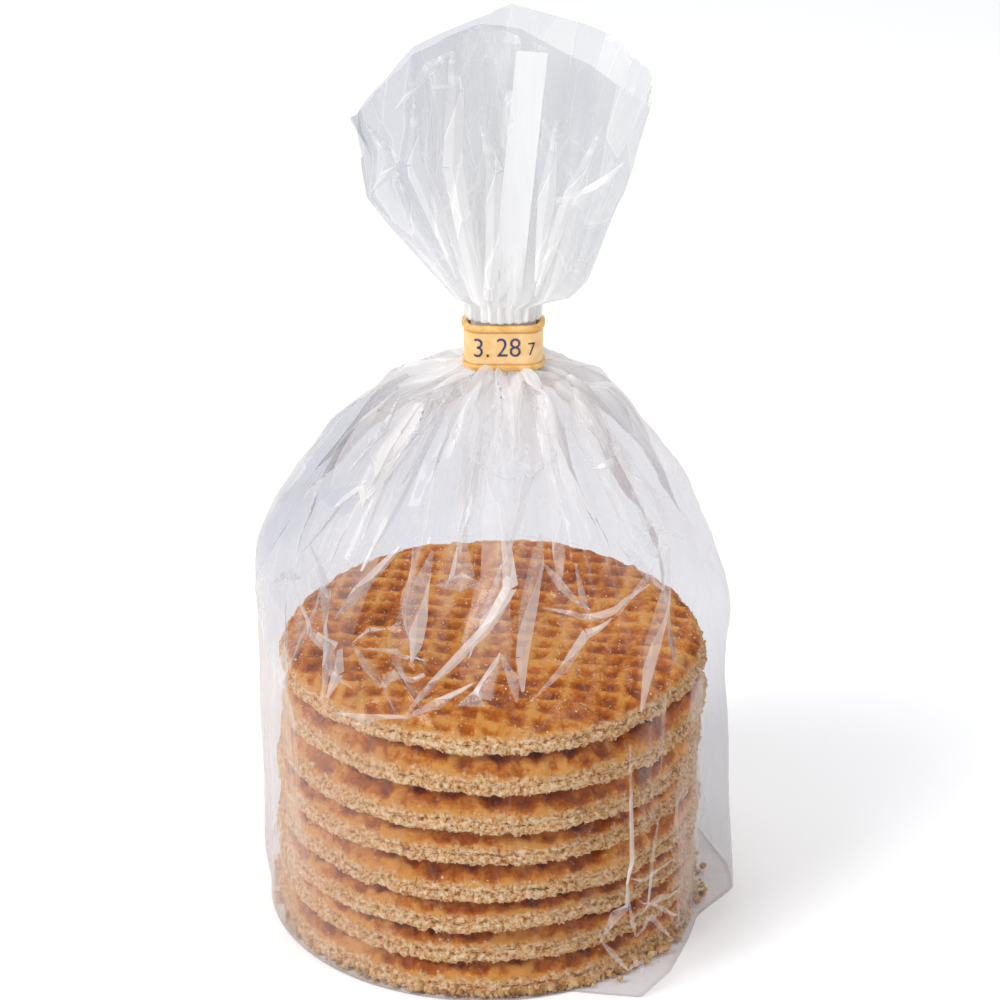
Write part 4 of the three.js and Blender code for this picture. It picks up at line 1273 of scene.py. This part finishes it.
def clearFilm(piece):
    # Oriented polypropylene film, cast and stretched: clear, stiff and very glossy. It bends only along
    # straight creases, so its flat facets each catch the light or miss it, and its creases are fine white
    # lines. There is more haze where it is pleated and where it is seen edge on; at the left by the stack
    # it is whiter, partly haze and partly painted light from the key lamp.
    name, tint, haziness, creaseHaze, doubled, gathered = filmFinish[piece]
    material, add = newMaterial(name)
    place = add("TexCoord").outputs["Object"]
    flat = add("UVMap", uv_map="flat film")
    along = add("SeparateXYZ", [flat]).outputs["Y"]
    normal = add("NewGeometry").outputs["Normal"]
    creases, folds = None, None
    for across, length, tilt in clearLook["facets"]:
        spread = add("VectorMath", [flat, (1 / (across * mm), 1 / (length * mm), 1.0)],
                     operation="MULTIPLY")
        facet = add("TexVoronoi", {"Vector": spread, "Scale": 1.0}, voronoi_dimensions="2D")
        edge = add("TexVoronoi", {"Vector": spread, "Scale": 1.0}, voronoi_dimensions="2D",
                   feature="DISTANCE_TO_EDGE")
        lean = add("VectorMath", [facet.outputs["Color"], (0.5, 0.5, 0.5)], operation="SUBTRACT")
        normal = add("VectorMath", [lean, (tilt, tilt, tilt), normal], operation="MULTIPLY_ADD").outputs[0]
        line = add("MapRange", {"Value": edge.outputs["Distance"], "From Min": 0.0,
                                "From Max": clearLook["creaseWidth"], "To Min": 1.0, "To Max": 0.0})
        creases = line if creases is None else add("Math", [creases, line], operation="MAXIMUM")
        pick = add("SeparateColor", [facet.outputs["Color"]]).outputs["Blue"]
        double = add("Math", [pick, clearLook["singleShare"]], operation="GREATER_THAN")
        folds = double if folds is None else add("Math", [folds, double], operation="ADD")
    unit = add("VectorMath", [normal], operation="NORMALIZE")
    ripple = add("TexNoise", {"Vector": place, "Scale": clearLook["ripple"], "Detail": 3.0,
                              "Roughness": 0.55})
    bump = add("Bump", {"Height": ripple.outputs["Fac"], "Strength": 0.3, "Distance": 0.0005,
                        "Normal": unit})
    inFolds = add("MapRange", {"Value": along, "From Min": doubled[0] * mm, "From Max": doubled[1] * mm,
                               "To Max": clearLook["double"]})
    inNeck = add("MapRange", {"Value": along, "From Min": gathered[0] * mm, "From Max": gathered[1] * mm})
    across, length = clearLook["streak"]
    drawn = add("VectorMath", [flat, (1 / (across * mm), 1 / (length * mm), 1.0)], operation="MULTIPLY")
    streak = add("TexNoise", {"Vector": drawn, "Scale": 1.0, "Detail": 2.0, "Roughness": 0.6,
                              "Distortion": 0.4}, noise_dimensions="2D")
    least, most = clearLook["streaks"]
    streaks = add("MapRange", {"Value": streak.outputs["Fac"], "From Min": 0.52, "From Max": 0.64,
                               "To Min": least, "To Max": most})
    tight = add("Math", [inNeck, 5.0], operation="POWER")
    tightWhite = add("Math", [tight, clearLook["neck"]], operation="MULTIPLY")
    neckWhite = add("Math", [streaks, inNeck, tightWhite], operation="MULTIPLY_ADD")
    facing = add("LayerWeight", {"Blend": 0.5, "Normal": bump}).outputs["Facing"]
    steep = add("Math", [facing, 4.5], operation="POWER")
    worn = add("Math", [creases, creaseHaze, haziness], operation="MULTIPLY_ADD")
    wornFolds = add("Math", [folds, inFolds, worn], operation="MULTIPLY_ADD")
    edgeOn = add("Math", [steep, clearLook["edgeOn"], wornFolds], operation="MULTIPLY_ADD")
    apart = add("SeparateXYZ", [place]).outputs
    # Whiter at the left beside the stack: partly haze, partly painted light from the key lamp on that side.
    leftHazeAndLight = add("MapRange", {"Value": apart["X"], "From Min": -0.016, "From Max": -0.046,
                                "To Max": clearLook["byStackHazeAndLight"]})
    besideStack = add("MapRange", {"Value": apart["Z"], "From Min": 0.072, "From Max": 0.058})
    edgeOnHazeAndLeftLight = add("Math", [leftHazeAndLight, besideStack, edgeOn], operation="MULTIPLY_ADD")
    white = add("Math", [edgeOnHazeAndLeftLight, neckWhite], operation="ADD", use_clamp=True)
    # Nearly clear on the base under the stack, which lifts the shade seen through it: painted light.
    wall = add("MapRange", {"Value": along, "From Min": -0.002, "From Max": 0.001})
    tintHere = add("Mix", {0: wall, 6: linear(clearLook["foldedUnder"]), 7: linear(tint)}, data_type="RGBA")
    leftSide = add("MapRange", {"Value": apart["X"], "From Min": -0.002, "From Max": -0.036})
    overStack = add("MapRange", {"Value": apart["Z"], "From Min": 0.068, "From Max": 0.082})
    dimmer = add("Math", [leftSide, overStack], operation="MULTIPLY")
    tintLeft = add("Mix", {0: dimmer, 6: tintHere.outputs[2], 7: linear(clearLook["atLeft"])},
                   data_type="RGBA")
    through = add("BsdfTransparent", {"Color": tintLeft.outputs[2]})
    gloss = add("BsdfGlossy", {"Color": linear(clearLook["gloss"]), "Roughness": 0.1, "Normal": bump})
    faceHaze = add("BsdfDiffuse", {"Color": linear(clearLook["haze"])})
    backHaze = add("BsdfTranslucent", {"Color": linear(clearLook["haze"])})
    haze = add("MixShader", [clearLook["backLit"], faceHaze, backHaze])
    shine = add("Math", [steep, *clearLook["shine"]], operation="MULTIPLY_ADD", use_clamp=True)
    clear = add("MixShader", [white, through, haze])
    shader = add("MixShader", [shine, clear, gloss])
    add("OutputMaterial", {"Surface": shader})
    return material


def whiteTape():
    # Opaque white polypropylene tape: satin, bright and slightly see-through where it is single. Its white
    # is partly the lap seam's own and partly a painted highlight.
    material, add = newMaterial("white polypropylene tape")
    place = add("TexCoord").outputs["Object"]
    brushed = add("VectorMath", [place, (1.0, 1.0, 0.06)], operation="MULTIPLY")
    streak = add("TexNoise", {"Vector": brushed, "Scale": lapStrip["streak"], "Detail": 2.0})
    colour = fillRamp(add("ValToRGB", {"Fac": streak.outputs["Fac"]}), lapStrip["colours"])
    through = add("BsdfTransparent", {"Color": linear("#ffffff")})
    white = add("BsdfTranslucent", {"Color": colour})
    face = add("BsdfPrincipled", {"Base Color": colour, "Roughness": 0.4, "IOR": 1.49})
    lit = add("MixShader", [0.5, face, white])
    height = add("SeparateXYZ", [place]).outputs["Z"]
    uneven = add("Math", [streak.outputs["Fac"], 0.01, height], operation="MULTIPLY_ADD")
    low, high = [edge * mm for edge in lapStrip["solidFrom"]]
    solid = add("MapRange", {"Value": uneven, "From Min": low, "From Max": high,
                             "To Min": lapStrip["solid"][0], "To Max": lapStrip["solid"][1]})
    shader = add("MixShader", [solid, through, lit])
    add("OutputMaterial", {"Surface": shader})
    return material


band = {
    "face": [(0.35, "#e9b970"), (0.5, "#efc384"), (0.68, "#f5d09a")],
    "bead": [(0.35, "#d79c48"), (0.65, "#edbf78")],
    # painted shade for the crease beside each bead
    "crease": "#b07a30",
    "creaseAt": 3.55,  # mm from the band's middle line to the crease beside each bead
    "creaseHalf": (0.05, 0.3),  # mm to each side of it that are dark, and where that has faded
    "beadFrom": (3.2, 4.0),  # mm from the middle line, where the bead's own colour sets in
    "mottle": 420.0,  # patches 2.4 mm wide
    "grain": 2600.0,  # paper fibres, 0.4 mm
}


def goldenStrip():
    # Paper-faced plastic strip with a wire in each edge, golden yellow all through: satin, a little mottled
    # where it was pressed, deeper in colour along its beads, and with painted shade in the crease beside
    # each bead.
    material, add = newMaterial("golden paper-faced plastic strip")
    place = add("TexCoord").outputs["Object"]
    mottle = add("TexNoise", {"Vector": place, "Scale": band["mottle"], "Detail": 4.0, "Roughness": 0.6})
    grain = add("TexNoise", {"Vector": place, "Scale": band["grain"], "Detail": 2.0})
    height = add("SeparateXYZ", [place]).outputs["Z"]
    middle = (bandLow.z + bandHigh.z) / 2
    fromMiddle = add("Math", [add("Math", [height, middle], operation="SUBTRACT")], operation="ABSOLUTE")
    low, high = [edge * mm for edge in band["beadFrom"]]
    bead = add("MapRange", {"Value": fromMiddle, "From Min": low, "From Max": high},
               interpolation_type="SMOOTHSTEP")
    face = fillRamp(add("ValToRGB", {"Fac": mottle.outputs["Fac"]}), band["face"])
    rim = fillRamp(add("ValToRGB", {"Fac": mottle.outputs["Fac"]}), band["bead"])
    strip = add("Mix", {0: bead, 6: face, 7: rim}, data_type="RGBA")
    # Painted shade along the crease beside each bead.
    fromCrease = add("Math", [add("Math", [fromMiddle, band["creaseAt"] * mm], operation="SUBTRACT")],
                     operation="ABSOLUTE")
    low, high = [edge * mm for edge in band["creaseHalf"]]
    crease = add("MapRange", {"Value": fromCrease, "From Min": low, "From Max": high, "To Min": 0.65,
                              "To Max": 0.0})
    colour = add("Mix", {0: crease, 6: strip.outputs[2], 7: linear(band["crease"])}, data_type="RGBA")
    rough = add("MapRange", {"Value": mottle.outputs["Fac"], "To Min": 0.32, "To Max": 0.5})
    bump = add("Bump", {"Height": grain.outputs["Fac"], "Strength": 0.25, "Distance": 0.0001})
    shader = add("BsdfPrincipled", {"Base Color": colour.outputs[2], "Roughness": rough, "Normal": bump,
                                    "IOR": 1.5})
    add("OutputMaterial", {"Surface": shader})
    return material


digits = {
    # text, its middle across the face in mm, its height in mm, and how far above the band's middle it is
    "marks": [("3.", -4.6, 3.6, 0.0), ("28", 1.1, 3.6, 0.1), ("7", 5.9, 2.5, -0.2)],
    "stroke": -0.012,  # thins the letter shapes
    "wide": 0.9,
    "faceFront": -4.55,  # mm, how far back the band's face lies
    "proud": 0.05,  # mm above the face
    "flatHalf": 4.8,  # mm of the face that is flat to each side, before it turns the corner
    "corner": 3.55,  # mm, radius of the turn
    "ink": [(0.35, "#232a55"), (0.6, "#3d4474"), (0.75, "#7d7a92")],
    "patch": 1500.0,  # thin spots 0.7 mm apart
}


def buildDigits():
    front = digits["faceFront"] - digits["proud"]
    points, faces = [], []
    for text, middle, tall, lift in digits["marks"]:
        curve = bpy.data.curves.new("mark", "FONT")
        curve.body = text
        curve.size = tall / 0.60  # the digits stand 0.6 of the letter size high
        curve.offset = digits["stroke"] * tall
        curve.align_x = "CENTER"
        mark = bpy.data.objects.new("mark", curve)
        bpy.context.scene.collection.objects.link(mark)
        graph = bpy.context.evaluated_depsgraph_get()
        graph.update()
        outline = bpy.data.meshes.new_from_object(mark.evaluated_get(graph))
        bpy.data.objects.remove(mark)
        first = len(points)
        for vertex in outline.vertices:
            along = middle + vertex.co.x * digits["wide"]
            over = max(0.0, abs(along) - digits["flatHalf"]) / digits["corner"]
            x = min(abs(along), digits["flatHalf"]) + digits["corner"] * math.sin(over)
            y = front + digits["corner"] * (1 - math.cos(over))
            points.append((neckX / mm + math.copysign(x, along), y, vertex.co.y - tall / 2 + lift))
        faces += [[first + v for v in polygon.vertices] for polygon in outline.polygons]
    raised = [(x * mm, y * mm, z * mm + (bandLow.z + bandHigh.z) / 2) for x, y, z in points]
    return newObject("stamped_digits", raised, faces, False)


def stampInk():
    # Dark blue marking ink, stamped: dull, and thin where the stamp pressed lightly.
    return mottled("blue stamping ink", digits["patch"], 3.0, digits["ink"], {"Roughness": 0.6})


buildView()
stackTop = buildWaffles()
topWaffle = bpy.data.objects[f"waffle_{len(waffle['thickness'])}_upper"]
settle(buildSugar(topWaffle), "crumb", finish=sugarCrystal())
print("sugar is on", flush=True)

pouch = settle(buildPouch(stackTop), "film", ["bag"], clearFilm("film_pouch"))
settle(buildCrumbs(pouch), "crumb", finish=dryCrumb())
made = {name: settle(buildFan(name), "film", finish=clearFilm(name)) for name in fans}
for name, base in (("film_folds", pouch), ("film_fan_folds", made["film_fan"])):
    settle(buildFolds(name, base), "film", finish=clearFilm(name))
settle(buildLapStrip(made["film_fan"]), "film", finish=whiteTape())
print("film is done", flush=True)

golden = goldenStrip()
for place in bpy.data.objects["clip_band"].material_slots:
    place.material = golden
settle(buildDigits(), "print", finish=stampInk())
print("band is done", flush=True)
